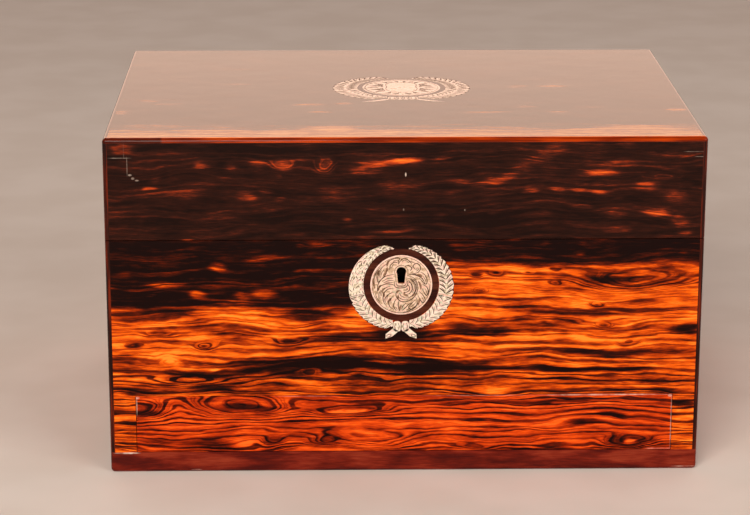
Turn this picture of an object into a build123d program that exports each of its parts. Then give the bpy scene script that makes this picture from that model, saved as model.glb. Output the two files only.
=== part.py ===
"""A Victorian vanity box: a veneered case with a hinged lid, a box lock, a drawer that springs out when its
pin is lifted, a fitted well with a lift-out tray and four glass vessels, and a mirror in the lid.

Millimetres. X runs to the right, Y to the back and Z up. The origin is the middle of the base's underside.
"""

from build123d import *
import math
import os

# Case
case_width = 305.0
case_depth = 229.0
case_height = 178.0
lid_height = 53.0
seam_gap = 0.4
base_height = 11.0
board = 8.8
lid_top_thickness = 8.0
veneer = 1.2
edging = 2.4
edge_radius = 2.0
edge_radius_share = 0.85
overcut = 1.0

# Inlay on the front and on the lid
lock_x = -2.0
escutcheon_drop = 24.0
keyhole_rise = 7.0
keyhole_radius = 2.5
keyhole_depth = 6.3
keyhole_shoulder = 2.25
keyhole_foot = 1.65
roundel_radius = 15.8
ring_width = 3.4
lid_inlay_x = 1.5
lid_inlay_y = 6.8
lid_roundel_radius = 21.3
lid_ring_width = 2.7
pearl = 0.8
pearl_gap = 0.15
spray_joint_slope = 0.24
knot_roundness = 0.8
horn_round = 4.0

# The wreaths' right-hand halves: a knot is its middle and half width, and a ribbon starts from the last knot
front_wreath_sizes = {
    "width": 7.65, "shift": 4.3, "drop": 1.2, "tip": 3.6, "crown": 7.2,
    "foot": 4.0, "foot_drop": 3.0, "heel": 9.0,
    "knots": [(2.1, 1.95)], "knot_height": 5.7,
    "ribbon": [(-1.0, -2.4), (2.4, -5.4), (5.9, -6.6), (5.8, -4.1), (1.9, -0.9)],
}
lid_wreath_sizes = {
    "width": 13.5, "shift": 7.5, "drop": 1.0, "tip": 6.4, "crown": 11.0,
    "foot": 8.4, "foot_drop": 1.6, "heel": 19.0,
    "knots": [(1.6, 1.4), (5.7, 2.4)], "knot_height": 6.8,
    "ribbon": [(0.0, -2.6), (8.5, -7.4), (16.8, -9.2), (9.3, -5.4), (2.6, -1.6)],
}

# Hinges
hinge_inset = 57.5
hinge_length = 36.0
hinge_leaf = 1.6
hinge_leaf_width = 8.5
knuckle_radius = 2.6
knuckle_clearance = 0.25
knuckle_end_gap = 0.1
hinge_pin_radius = 1.0
pin_clearance = 0.05
lid_opening = 100.0
stop_play = 1.0
stop_reach = 3.4
stop_drop = 5.5
stop_start = 1.5

# Screws
screw_head_radius = 2.1
screw_head_height = 1.3
screw_radius = 1.1
screw_length = 7.5
screw_slot = 0.5
screw_clearance = 0.05
hinge_screw_spacing = 12.0

# Lock
lock_width = 46.0
lock_thickness = 7.0
lock_depth = 27.0
lock_wall = 1.0
selvedge_length = 60.0
selvedge = 1.6
lock_screw_reach = 26.0
link_spacing = 24.0
link_thickness = 2.0
link_width = 4.0
link_length = 9.4
link_eye = 3.0
link_eye_height = 3.6
link_eye_drop = 5.6
link_clearance = 0.3
lock_fit = 0.1
lock_set_back = 0.4
bolt_travel = 5.0
bolt_bar = 2.2
bolt_finger = 2.4
bolt_play = 1.0
bolt_post = 2.0
drill_pin_radius = 1.1

# Drawer
drawer_margin = 13.9
drawer_height = 30.2
drawer_gap = 0.3
drawer_front_thickness = 8.0
drawer_board = 5.0
drawer_bottom_thickness = 2.5
drawer_bottom_rise = 0.5
drawer_side_drop = 6.5
drawer_pad = 1.5
dust_board = 3.5
spring_room = 14.5
spring_strip = 0.8
spring_span = 100.0
spring_height = 12.0
catch_length = 14.0
catch_overhang = 3.0

# Release pin
release_radius = 1.5
release_clearance = 0.15
release_set_back = 7.3
release_travel = 6.5
release_rest_gap = 0.5
release_hole_spare = 0.5
release_top_drop = 26.8
release_knob_radius = 3.0
release_knob_height = 3.0

# Well
facing = 2.2
lip = 2.8
lip_clearance = 0.6
lip_chamfer = 0.7
floor_pad = 1.5
divider = 2.5
divider_drop = 6.8

# Tray
tray_gap = 0.6
tray_wall = 3.5
tray_bottom = 2.5
tray_height = 26.5
tray_ledge = 3.0
tray_divider = 3.0
tray_middle = 70.0
tray_knob_radius = 3.2
tray_knob_stem = 1.5
tray_knob_rise = 5.0
tray_divider_drop = 1.5

# Glass vessels
vessel_clearance = 4.15
vessel_seat = 0.2
jar_radius = 25.0
jar_height = 52.0
glass_box_width = 50.0
glass_box_length = 58.0
glass_wall = 3.0
glass_floor = 5.0
neck_height = 5.0
neck_step = 3.5
cap_gap = 0.3
cap_height = 13.0
cap_overhang = 0.5
cap_dome = 3.0
glass_box_cap_round = 2.4
glass_corner = 3.0

# Mirror
mirror_border = 24.0
mirror_frame_thickness = 6.0
mirror_rebate = 3.5
mirror_glass = 2.6
mirror_play = 0.1
mirror_chamfer = 2.0

# Places that follow from the sizes above
half_width = case_width / 2
half_depth = case_depth / 2
seam_z = case_height - lid_height
body_top = seam_z - seam_gap / 2
lid_bottom = seam_z + seam_gap / 2
core_x = half_width - veneer
core_y = half_depth - veneer
edge_x = half_width - edging
edge_y = half_depth - edging
inner_x = core_x - board
inner_y = core_y - board
rounding = min(edge_radius, edge_radius_share * edging)
ring_radius = roundel_radius + ring_width
lid_ring_radius = lid_roundel_radius + lid_ring_width
lid_core_top = case_height - veneer
lid_inside_z = lid_core_top - lid_top_thickness
lid_inner_x = inner_x + lip_clearance
lid_inner_y = inner_y + lip_clearance
escutcheon_z = seam_z - escutcheon_drop
keyhole_z = escutcheon_z + keyhole_rise

drawer_x = half_width - drawer_margin
drawer_low = base_height + drawer_gap
drawer_high = drawer_low + drawer_height
bay_x = drawer_x + drawer_gap
bay_top = drawer_high + drawer_gap
drawer_back_y = inner_y - spring_room
drawer_front_y = core_y - drawer_front_thickness
drawer_side_top = drawer_high - drawer_side_drop
drawer_inside_x = drawer_x - drawer_board
drawer_bottom_z = drawer_low + drawer_bottom_rise
drawer_floor_z = drawer_bottom_z + drawer_bottom_thickness

release_x = drawer_x - drawer_board / 2
release_y = -(drawer_front_y - release_set_back)
release_low_z = drawer_high + release_rest_gap
release_top_z = body_top - release_top_drop

well_x = inner_x - facing
well_y = inner_y - facing
well_low = bay_top + dust_board
well_floor = well_low + floor_pad
divider_top = body_top - divider_drop
vessel_z = well_floor + vessel_seat
bay_width = max(2 * jar_radius, glass_box_width) + 2 * vessel_clearance
bay_middle_x = well_x - bay_width / 2
divider_x = well_x - bay_width - divider
jar_bay = 2 * jar_radius + 2 * vessel_clearance
box_bay = glass_box_length + 2 * vessel_clearance
jar_y = -well_y + jar_bay / 2
glass_box_y = well_y - box_bay / 2
jar_divider_y = -well_y + jar_bay
box_divider_y = well_y - box_bay - divider
tray_x = divider_x - tray_gap
tray_y = well_y - tray_gap
tray_low = divider_top - tray_height
tray_inside_x = tray_x - tray_wall
tray_inside_y = tray_y - tray_wall
tray_floor = tray_low + tray_bottom

tray_top = tray_low + tray_height
tray_divider_top = tray_top - tray_divider_drop

lock_y = inner_y + lock_set_back + lock_thickness / 2
lock_front_y = lock_y + lock_thickness / 2
lock_top = body_top - selvedge
lock_low = lock_top - lock_depth
link_eye_z = body_top - link_eye_drop
link_xs = (lock_x - link_spacing / 2, lock_x + link_spacing / 2)
hinge_x = half_width - hinge_inset
hinge_z = seam_z
hinge_y = half_depth
leaf_front_y = half_depth - hinge_leaf_width
knuckle_third = hinge_length / 3
mirror_low = lid_inside_z - mirror_frame_thickness
mirror_x = lid_inner_x - mirror_border
mirror_y = lid_inner_y - mirror_border


def block(x0, x1, y0, y1, z0, z1):
    """A box between two corners."""
    middle = Pos((x0 + x1) / 2, (y0 + y1) / 2, (z0 + z1) / 2)
    return middle * Box(abs(x1 - x0), abs(y1 - y0), abs(z1 - z0))


def slab(x, y, z0, z1):
    """A box centred on the Z axis, given by its half sizes."""
    return block(-x, x, -y, y, z0, z1)


def both_sides(shape):
    """The shape and its mirror image across the middle of the box."""
    return [shape, mirror(shape, about=Plane.YZ)]


def along_x(radius, x0, x1, y, z):
    """A round bar that lies along X."""
    return Pos((x0 + x1) / 2, y, z) * Rot(0, 90, 0) * Cylinder(radius, x1 - x0)


def along_y(radius, y0, y1, x, z):
    """A round bar that lies along Y."""
    return Pos(x, (y0 + y1) / 2, z) * Rot(90, 0, 0) * Cylinder(radius, y1 - y0)


def upright(radius, z0, z1, x, y):
    """A round bar that stands along Z."""
    return Pos(x, y, (z0 + z1) / 2) * Cylinder(radius, z1 - z0)


def on_front(shape):
    """Stands a shape that is drawn flat about the roundel's middle up against the front of the case."""
    return Pos(lock_x, -half_depth, escutcheon_z) * Rot(90, 0, 0) * shape


def on_lid(shape):
    """Lays a shape that is drawn flat about the lid roundel's middle on the top of the lid."""
    return Pos(lid_inlay_x, lid_inlay_y, case_height) * shape


def screw(x, y, z, up, growth=0.0):
    """A countersunk wood screw with its head's flat at z; up is 1 where it points up and -1 where down."""
    head = Cone(screw_radius + growth, screw_head_radius + growth, screw_head_height)
    head = Pos(0, 0, -screw_head_height / 2) * head
    shank = upright(screw_radius + growth, -screw_length - growth, -screw_head_height / 2, 0, 0)
    whole = head + shank
    if growth == 0.0:
        whole -= block(
            -screw_head_radius, screw_head_radius, -screw_slot / 2, screw_slot / 2, -screw_slot, overcut,
        )
    turned = Rot(180, 0, 0) * whole if up > 0 else whole
    return Pos(x, y, z) * turned


# Where the screws stand: on the case they point down, on the lid up
hinge_screw_y = half_depth - hinge_leaf_width / 2 - knuckle_radius / 2
hinge_screw_xs = [
    side * hinge_x + step * hinge_screw_spacing for side in (-1, 1) for step in (-1, 0, 1)
]
screw_places = [(x, hinge_screw_y) for x in hinge_screw_xs]
screw_places += [(lock_x + side * lock_screw_reach, -lock_y) for side in (-1, 1)]


def screws(up, growth=0.0):
    """All the screws of the case or of the lid."""
    z = lid_bottom if up > 0 else body_top
    return [screw(x, y, z, up, growth) for x, y in screw_places]


def without(shape, cuts):
    """The shape with each of the cuts taken out of it."""
    for cut in cuts:
        shape -= cut
    return shape


def inwards(face, depth=pearl):
    """Gives a drawing a depth, by default the pearl's."""
    return extrude(face, depth, dir=(0, 0, -1))


def keyhole(depth):
    """The keyhole's shape, cut inwards from the front: a round eye over a foot that narrows."""
    foot_y = keyhole_rise - keyhole_depth
    eye = Pos(0, keyhole_rise) * Circle(keyhole_radius)
    slot = Polygon(
        (-keyhole_foot, foot_y), (keyhole_foot, foot_y),
        (keyhole_shoulder, keyhole_rise), (-keyhole_shoulder, keyhole_rise), align=None,
    )
    return inwards(eye + slot, depth)


def knot(x, half, height, y, growth=0.0):
    """One of the bow's knots, seen from the front: a barrel with rounded corners."""
    outline = RectangleRounded(2 * (half + growth), height + 2 * growth, knot_roundness * half + growth)
    return inwards(Pos(x, y) * outline)


def wreath(ring, width, shift, drop, tip, crown, foot, foot_drop, heel, knots, knot_height, ribbon):
    """A laurel wreath's flat pieces round a ring: the bow's knots, and on each side two sprays and a ribbon.

    The sprays lie between the ring and a larger circle that stands off centre. A rounded horn from tip to
    crown ends them at the top, and a step from foot to heel at the bow.
    """
    circle, far = ring + width - shift, half_width
    knot_y = -(ring + pearl_gap + knot_height / 2)
    last, last_half = knots[-1]
    stem = max(foot, last + last_half + pearl_gap)
    crown_y, heel_y = circle - drop, -(circle + drop)
    horn_y = ring + (far - tip) * (crown_y - ring) / (crown - tip)
    foot_y = -(ring + foot_drop)
    spray = Pos(shift, -drop) * Circle(circle) - Circle(ring + pearl_gap)
    spray &= Polygon(
        (tip, ring), (stem, 0), (stem, foot_y), (heel, heel_y), (far, heel_y), (far, horn_y), align=None,
    )
    spray = fillet(spray.vertices().sort_by(Axis.Y)[-1], horn_round)
    lower = Polygon((0, 0), (0, -far), (far, -far), (far, -spray_joint_slope * far), align=None)
    ends = inwards(Polygon(*[(last + x, knot_y + y) for x, y in ribbon], align=None))
    ends -= knot(last, last_half, knot_height, knot_y, pearl_gap)
    right = [inwards(spray - lower), inwards(spray & Pos(0, -pearl_gap) * lower), ends]
    right += [knot(x, half, knot_height, knot_y) for x, half in knots]
    return [piece for one in right for piece in both_sides(one)]


def corner_strips(z0, z1, radius):
    """The four upright edgings at the case's corners."""
    strips = []
    for x in (-1, 1):
        for y in (-1, 1):
            strip = block(x * edge_x, x * half_width, y * edge_y, y * half_depth, z0, z1)
            if radius:
                upright_edges = strip.edges().filter_by(Axis.Z)
                outer = upright_edges.sort_by(lambda edge: abs(edge.center().X) + abs(edge.center().Y))[-1]
                strip = fillet(outer, radius)
            strips.append(strip)
    return strips


def mitred(ring, reach_x, reach_y, width, z0, z1):
    """Cuts a rectangular ring into its front, right, back and left strips along the mitres."""
    out_x, out_y = reach_x + overcut, reach_y + overcut
    in_x, in_y = reach_x - width - overcut, reach_y - width - overcut
    front = Polygon((-out_x, -out_y), (out_x, -out_y), (in_x, -in_y), (-in_x, -in_y), align=None)
    right = Polygon((out_x, -out_y), (out_x, out_y), (in_x, in_y), (in_x, -in_y), align=None)
    wedges = [front, right, mirror(front, about=Plane.XZ), mirror(right, about=Plane.YZ)]
    low, tall = z0 - overcut, z1 - z0 + 2 * overcut
    return [ring & extrude(Pos(0, 0, low) * wedge, tall, dir=(0, 0, 1)) for wedge in wedges]


def hinge_stop(sign):
    """The stop nib behind a hinge's knuckles, at x = 0; sign is -1 on the case and 1 on the lid."""
    slope = math.tan(math.radians((lid_opening + stop_play) / 2))
    corners = [
        (0, stop_start), (stop_start / slope, stop_start), (stop_reach, stop_reach * slope),
        (stop_reach, stop_drop), (0, stop_drop),
    ]
    profile = Polygon(*[(y, sign * z) for y, z in corners], align=None)
    stand = Plane(origin=(-hinge_length / 2, hinge_y, hinge_z), x_dir=(0, 1, 0), z_dir=(1, 0, 0))
    return extrude(stand * profile, hinge_length, dir=(1, 0, 0))


def knuckle_spans(lid):
    """Where the knuckles of one leaf lie along the hinge: the lid's is the middle one of three."""
    if lid:
        return [(-knuckle_third / 2 + knuckle_end_gap, knuckle_third / 2 - knuckle_end_gap)]
    inner = knuckle_third / 2 + knuckle_end_gap
    return [(-hinge_length / 2, -inner), (inner, hinge_length / 2)]


def hinge_leaf_solid(lid):
    """One hinge leaf with its knuckles and stop, at x = 0."""
    sign = 1 if lid else -1
    face_z = lid_bottom if lid else body_top
    half = hinge_length / 2
    leaf = block(-half, half, leaf_front_y, hinge_y, face_z, face_z + sign * hinge_leaf)
    leaf += hinge_stop(sign)
    room = knuckle_radius + knuckle_clearance
    for x0, x1 in knuckle_spans(not lid):
        leaf -= along_x(room, x0 - 2 * knuckle_end_gap, x1 + 2 * knuckle_end_gap, hinge_y, hinge_z)
    for x0, x1 in knuckle_spans(lid):
        leaf += along_x(knuckle_radius, x0, x1, hinge_y, hinge_z)
    bore = hinge_pin_radius + pin_clearance
    return leaf - along_x(bore, -half - overcut, half + overcut, hinge_y, hinge_z)


def hinge_leaves(lid):
    """The two leaves on the case or on the lid, with their countersunk holes."""
    leaves = [Pos(x, 0, 0) * hinge_leaf_solid(lid) for x in (-hinge_x, hinge_x)]
    holes = screws(1 if lid else -1, screw_clearance)
    return [without(leaf, holes) for leaf in leaves]


def hinge_rooms():
    """What the hinges take out of the wood: the leaves' seats and the room round the knuckles."""
    half = hinge_length / 2
    low, high = body_top - hinge_leaf, lid_bottom + hinge_leaf
    rooms = []
    for x in (-hinge_x, hinge_x):
        rooms.append(block(x - half, x + half, leaf_front_y, half_depth + veneer, low, high))
        rooms.append(along_x(knuckle_radius + knuckle_clearance, x - half, x + half, hinge_y, hinge_z))
    return rooms


def hinge_pins():
    half = hinge_length / 2
    return [along_x(hinge_pin_radius, x - half, x + half, hinge_y, hinge_z) for x in (-hinge_x, hinge_x)]


def base_board():
    base = slab(half_width, half_depth, 0, base_height)
    edges = base.edges().filter_by(Axis.Z) + base.faces().sort_by(Axis.Z)[0].edges()
    return [fillet(edges, rounding)]


def lock_slab(half_length, half_thickness, z0, z1, x=lock_x):
    """A box about the lock's own middle."""
    return block(x - half_length, x + half_length, -lock_y - half_thickness, -lock_y + half_thickness, z0, z1)


def body_front_board():
    """The front board, with the keyhole and the lock's mortise, which is open at the back."""
    front = block(-inner_x, inner_x, -core_y, -inner_y, bay_top, body_top)
    mortise = lock_width / 2 + lock_fit
    low = lock_low - lock_fit
    front -= block(lock_x - mortise, lock_x + mortise, -lock_front_y - lock_fit, -inner_y, low, body_top)
    half = selvedge_length / 2
    front -= block(lock_x - half, lock_x + half, -lock_front_y, -inner_y, lock_top, body_top)
    front -= on_front(keyhole(veneer + board))
    return [without(front, screws(-1, screw_clearance))]


def body_back_board():
    back = block(-inner_x, inner_x, inner_y, core_y, base_height, body_top)
    return [without(back, hinge_rooms() + screws(-1, screw_clearance))]


def body_side_boards():
    side = block(inner_x, core_x, -core_y, core_y, base_height, body_top)
    return both_sides(without(side, corner_strips(base_height, body_top, 0)))


def body_veneer_front():
    """The front's veneer round the drawer, with the seats of the pearl and the ring sunk into it."""
    sheet = block(-edge_x, edge_x, -half_depth, -core_y, base_height, body_top)
    sheet -= block(-bay_x, bay_x, -half_depth, -core_y, base_height, bay_top)
    seats = escutcheon_wreath() + [on_front(inwards(Circle(ring_radius))), on_front(keyhole(veneer))]
    return [without(sheet, seats)]


def body_veneer_back():
    sheet = block(-edge_x, edge_x, core_y, half_depth, base_height, body_top)
    return [without(sheet, hinge_rooms())]


def body_veneer_sides():
    return both_sides(block(core_x, half_width, -edge_y, edge_y, base_height, body_top))


def dust_board_solid():
    shelf = slab(inner_x, inner_y, bay_top, bay_top + dust_board)
    return [shelf - release_hole(bay_top, well_low)]


def release_hole(z0, z1):
    """The hole that the release pin runs in, between two heights."""
    hole_radius = release_radius + release_clearance
    return upright(hole_radius, z0 - overcut, z1 + overcut, release_x, release_y)


def drawer_guides():
    return both_sides(block(bay_x, inner_x, -core_y, inner_y, base_height, bay_top))


def drawer_spring():
    """A bowed strip behind the drawer: its middle is fixed to the back and its ends press on the drawer."""
    end_y = drawer_back_y + drawer_gap
    bow = inner_y - end_y
    middle_z = (drawer_low + drawer_side_top) / 2
    radius = ((spring_span / 2) ** 2 + bow ** 2) / (2 * bow)
    ring = Cylinder(radius, spring_height) - Cylinder(radius - spring_strip, spring_height)
    ring = Pos(0, inner_y - radius, middle_z) * ring
    return [ring & block(-case_width, case_width, end_y, inner_y, 0, seam_z)]


def well_facings():
    top = seam_z + lip
    side = block(well_x, inner_x, -inner_y, inner_y, well_low, top)
    end = block(-well_x, well_x, well_y, inner_y, well_low, top)
    pieces = both_sides(side) + [end, mirror(end, about=Plane.XZ)]
    return [chamfer(piece.faces().sort_by(Axis.Z)[-1].edges(), lip_chamfer) for piece in pieces]


def well_floor_pad():
    return [slab(well_x, well_y, well_low, well_floor) - release_hole(well_low, well_floor)]


def well_dividers():
    """Two long dividers with the tray's ledges on them, and two short ones across each side bay."""
    long_one = block(divider_x, divider_x + divider, -well_y, well_y, well_floor, divider_top)
    ledge = block(divider_x - tray_ledge, divider_x, -well_y, well_y, tray_low - tray_ledge, tray_low)
    shorts = [
        block(divider_x + divider, well_x, y, y + divider, well_floor, divider_top)
        for y in (jar_divider_y, box_divider_y)
    ]
    return [piece for one in [long_one, ledge] + shorts for piece in both_sides(one)]


def keyhole_roundel():
    return [on_front(inwards(Circle(roundel_radius)) - keyhole(2 * pearl))]


def escutcheon_ring():
    return [on_front(inwards(Circle(ring_radius) - Circle(roundel_radius)))]


def escutcheon_wreath():
    return [on_front(piece) for piece in wreath(ring_radius, **front_wreath_sizes)]


def lock_case():
    """The box lock: a hollow case let into the front board, under a selvedge with the links' two slots."""
    thick, inside = lock_thickness / 2, lock_thickness / 2 - lock_wall
    shell = lock_slab(lock_width / 2, thick, lock_low, lock_top)
    shell -= lock_slab(lock_width / 2 - lock_wall, inside, lock_low + lock_wall, lock_top)
    shell += lock_slab(selvedge_length / 2, thick, lock_top, body_top)
    for x in link_xs:
        room_x, room_y = link_thickness / 2 + link_clearance, link_width / 2 + link_clearance
        shell -= lock_slab(room_x, room_y, lock_top, body_top, x)
    shell -= on_front(keyhole(half_depth - lock_front_y + lock_wall))
    shell += along_y(drill_pin_radius, -lock_y - inside, -lock_y + inside, lock_x, keyhole_z)
    return [without(shell, screws(-1, screw_clearance))]


def lock_bolt():
    """The bolt, drawn back: a bar that slides in the lock case, with a finger for each link."""
    thick = lock_thickness / 2 - lock_wall - link_clearance
    half = bolt_finger / 2
    bar_top = lid_bottom - link_length - bolt_play
    bar_low = bar_top - bolt_bar
    tips = [x - link_thickness / 2 - bolt_play for x in link_xs]
    heels = [x - link_thickness / 2 - link_clearance - bolt_travel - bolt_post for x in link_xs]
    bolt = block(heels[0], tips[1], -lock_y - thick, -lock_y + thick, bar_low, bar_top)
    for tip, heel in zip(tips, heels):
        bolt += block(heel, heel + bolt_post, -lock_y - half, -lock_y + half, bar_low, link_eye_z + half)
        bolt += block(heel, tip, -lock_y - half, -lock_y + half, link_eye_z - half, link_eye_z + half)
    return [bolt]


def link_plate_body():
    """The flat of the link plate, which is let into the lid's front edge."""
    thick = lock_thickness / 2 - lip_clearance
    return lock_slab(selvedge_length / 2, thick, lid_bottom, lid_bottom + selvedge)


def lock_link_plate():
    """The plate in the lid's front edge, with two links that drop into the lock."""
    plate = link_plate_body()
    for x in link_xs:
        link = lock_slab(link_thickness / 2, link_width / 2, lid_bottom - link_length, lid_bottom, x)
        low, high = link_eye_z - link_eye_height / 2, link_eye_z + link_eye_height / 2
        plate += link - lock_slab(link_thickness / 2, link_eye / 2, low, high, x)
    return [without(plate, screws(1, screw_clearance))]


def lid_top_board():
    """The lid's top, stepped down round its edge for the edging strips."""
    step_z = case_height - edging
    lower = slab(core_x, core_y, lid_inside_z, step_z)
    upper = slab(edge_x, edge_y, step_z, lid_core_top)
    return [without(lower, corner_strips(lid_inside_z, step_z, 0)) + upper]


def lid_front_board():
    front = block(-lid_inner_x, lid_inner_x, -core_y, -lid_inner_y, lid_bottom, lid_inside_z)
    return [without(front - link_plate_body(), screws(1, screw_clearance))]


def lid_back_board():
    back = block(-lid_inner_x, lid_inner_x, lid_inner_y, core_y, lid_bottom, lid_inside_z)
    return [without(back, hinge_rooms() + screws(1, screw_clearance))]


def lid_side_boards():
    side = block(lid_inner_x, core_x, -core_y, core_y, lid_bottom, lid_inside_z)
    return both_sides(without(side, corner_strips(lid_bottom, lid_inside_z, 0)))


def lid_veneer_top():
    sheet = slab(edge_x, edge_y, lid_core_top, case_height)
    return [without(sheet, lid_wreath() + [on_lid(inwards(Circle(lid_ring_radius)))])]


def lid_veneer_front():
    return [block(-edge_x, edge_x, -half_depth, -core_y, lid_bottom, case_height - edging)]


def lid_veneer_back():
    sheet = block(-edge_x, edge_x, core_y, half_depth, lid_bottom, case_height - edging)
    return [without(sheet, hinge_rooms())]


def lid_veneer_sides():
    return both_sides(block(core_x, half_width, -edge_y, edge_y, lid_bottom, case_height - edging))


def lid_edgings():
    """The upright corner edgings, and the four strips round the top, mitred at the corners."""
    low = case_height - edging
    cap = slab(half_width, half_depth, low, case_height)
    edges = cap.edges().filter_by(Axis.Z) + cap.faces().sort_by(Axis.Z)[-1].edges()
    ring = fillet(edges, rounding) - slab(edge_x, edge_y, low, case_height)
    strips = mitred(ring, half_width, half_depth, edging, low, case_height)
    return corner_strips(lid_bottom, low, rounding) + strips


def lid_roundel():
    return [on_lid(inwards(Circle(lid_roundel_radius)))]


def lid_ring():
    return [on_lid(inwards(Circle(lid_ring_radius) - Circle(lid_roundel_radius)))]


def lid_wreath():
    return [on_lid(piece) for piece in wreath(lid_ring_radius, **lid_wreath_sizes)]


def mirror_frame():
    """Four mitred mouldings that hold the mirror against the lid's inside."""
    ring = slab(lid_inner_x, lid_inner_y, mirror_low, lid_inside_z)
    ring -= slab(mirror_x, mirror_y, mirror_low, lid_inside_z)
    halfway_x, halfway_y = lid_inner_x - mirror_border / 2, lid_inner_y - mirror_border / 2
    underside = ring.edges().group_by(Axis.Z)[0]
    sight = underside.filter_by(lambda edge: abs(edge.center().X) < halfway_x)
    sight = sight.filter_by(lambda edge: abs(edge.center().Y) < halfway_y)
    ring = chamfer(sight, mirror_chamfer)
    rebate_z = lid_inside_z - mirror_glass - 2 * mirror_play
    ring -= slab(mirror_x + mirror_rebate, mirror_y + mirror_rebate, rebate_z, lid_inside_z)
    return mitred(ring, lid_inner_x, lid_inner_y, mirror_border, mirror_low, lid_inside_z)


def mirror_plate():
    reach = mirror_rebate - mirror_play
    low = lid_inside_z - mirror_glass - mirror_play
    return [slab(mirror_x + reach, mirror_y + reach, low, low + mirror_glass)]


def drawer_front():
    return [block(-drawer_x, drawer_x, -core_y, -drawer_front_y, drawer_low, drawer_high)]


def drawer_veneer():
    return [block(-drawer_x, drawer_x, -half_depth, -core_y, drawer_low, drawer_high)]


def drawer_sides():
    """The drawer's two sides, and the block on the right one that the release pin drops into."""
    side = block(drawer_inside_x, drawer_x, -drawer_front_y, drawer_back_y, drawer_low, drawer_side_top)
    catch = block(
        drawer_inside_x - catch_overhang, drawer_x, -drawer_front_y, -drawer_front_y + catch_length,
        drawer_side_top, drawer_high - drawer_gap,
    )
    hole = release_hole(release_low_z - release_travel - release_hole_spare, drawer_high)
    return [piece - hole for piece in both_sides(side) + [catch]]


def inside_drawer(y0, y1, z0, z1):
    """A box between the drawer's sides."""
    return [block(-drawer_inside_x, drawer_inside_x, y0, y1, z0, z1)]


def drawer_back():
    return inside_drawer(drawer_back_y - drawer_board, drawer_back_y, drawer_low, drawer_side_top)


def drawer_bottom():
    return inside_drawer(-drawer_front_y, drawer_back_y - drawer_board, drawer_bottom_z, drawer_floor_z)


def drawer_pad_solid():
    back_y, top = drawer_back_y - drawer_board, drawer_floor_z + drawer_pad
    return inside_drawer(-drawer_front_y, back_y, drawer_floor_z, top)


def release_pin():
    """The pin that locks the drawer, drawn up."""
    knob_top = release_top_z + release_knob_height
    pin = upright(release_radius, release_low_z, release_top_z, release_x, release_y)
    knob = upright(release_knob_radius, release_top_z, knob_top, release_x, release_y)
    return [pin + fillet(knob.edges(), release_knob_height / 4)]


def tray_frame():
    side = block(tray_inside_x, tray_x, -tray_y, tray_y, tray_low, tray_top)
    end = block(-tray_inside_x, tray_inside_x, tray_inside_y, tray_y, tray_low, tray_top)
    return both_sides(side) + [end, mirror(end, about=Plane.XZ)]


def tray_bottom_solid():
    return [slab(tray_inside_x, tray_inside_y, tray_low, tray_floor)]


def tray_dividers():
    """Two dividers across the tray and one that halves its back."""
    near, far, half = tray_middle / 2, tray_middle / 2 + tray_divider, tray_divider / 2
    across = block(-tray_inside_x, tray_inside_x, near, far, tray_floor, tray_divider_top)
    back = block(-half, half, far, tray_inside_y, tray_floor, tray_divider_top)
    return [across, mirror(across, about=Plane.XZ), back]


def tray_knobs():
    """Two turned knobs on the tray's dividers, to lift it by."""
    y = (tray_middle + tray_divider) / 2
    middle_z = tray_divider_top + tray_knob_rise
    turned = upright(tray_knob_stem, tray_divider_top, middle_z, 0, y)
    turned += Pos(0, y, middle_z) * Sphere(tray_knob_radius)
    return [turned, mirror(turned, about=Plane.XZ)]


def powder_jar():
    """A round glass jar with a stepped neck, at the right-hand bay."""
    top = vessel_z + jar_height
    jar = upright(jar_radius, vessel_z, top, bay_middle_x, jar_y)
    jar = fillet(jar.faces().sort_by(Axis.Z)[0].edges(), glass_wall / 2)
    neck_radius, neck_top = jar_radius - neck_step, top + neck_height
    jar += upright(neck_radius, top, neck_top, bay_middle_x, jar_y)
    return jar - upright(neck_radius - glass_wall, vessel_z + glass_floor, neck_top, bay_middle_x, jar_y)


def powder_jar_lid():
    """The jar's plated lid: a low dome, hollowed to sit over the neck."""
    low = vessel_z + jar_height + cap_gap
    lid = upright(jar_radius + cap_overhang, low, low + cap_height, bay_middle_x, jar_y)
    lid = fillet(lid.faces().sort_by(Axis.Z)[-1].edges(), cap_dome)
    return lid - upright(jar_radius - neck_step + cap_gap, low, low + neck_height, bay_middle_x, jar_y)


def glass_block(shrink, z0, z1):
    """An upright block with the glass box's outline, drawn in by shrink."""
    x, y = glass_box_width / 2 - shrink, glass_box_length / 2 - shrink
    solid = block(bay_middle_x - x, bay_middle_x + x, glass_box_y - y, glass_box_y + y, z0, z1)
    return fillet(solid.edges().filter_by(Axis.Z), glass_corner)


def glass_box():
    """A rectangular glass box with a stepped neck, at the right-hand bay."""
    top = vessel_z + jar_height
    box = glass_block(0, vessel_z, top) + glass_block(neck_step, top, top + neck_height)
    return box - glass_block(neck_step + glass_wall, vessel_z + glass_floor, top + neck_height)


def glass_box_lid():
    """The glass box's plated lid, hollowed to sit over the neck."""
    low = vessel_z + jar_height + cap_gap
    lid = glass_block(-cap_overhang, low, low + cap_height)
    lid = fillet(lid.faces().sort_by(Axis.Z)[-1].edges(), glass_box_cap_round)
    return lid - glass_block(neck_step - cap_gap, low, low + neck_height)


def vessels():
    """The four glass vessels and their lids, the right-hand ones and their mirror images."""
    pieces = {}
    makers = {
        "powder_jar": powder_jar, "powder_jar_lid": powder_jar_lid,
        "glass_box": glass_box, "glass_box_lid": glass_box_lid,
    }
    for name, maker in makers.items():
        right, left = both_sides(maker())
        pieces[name + "_right"] = [right]
        pieces[name + "_left"] = [left]
    return pieces


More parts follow.
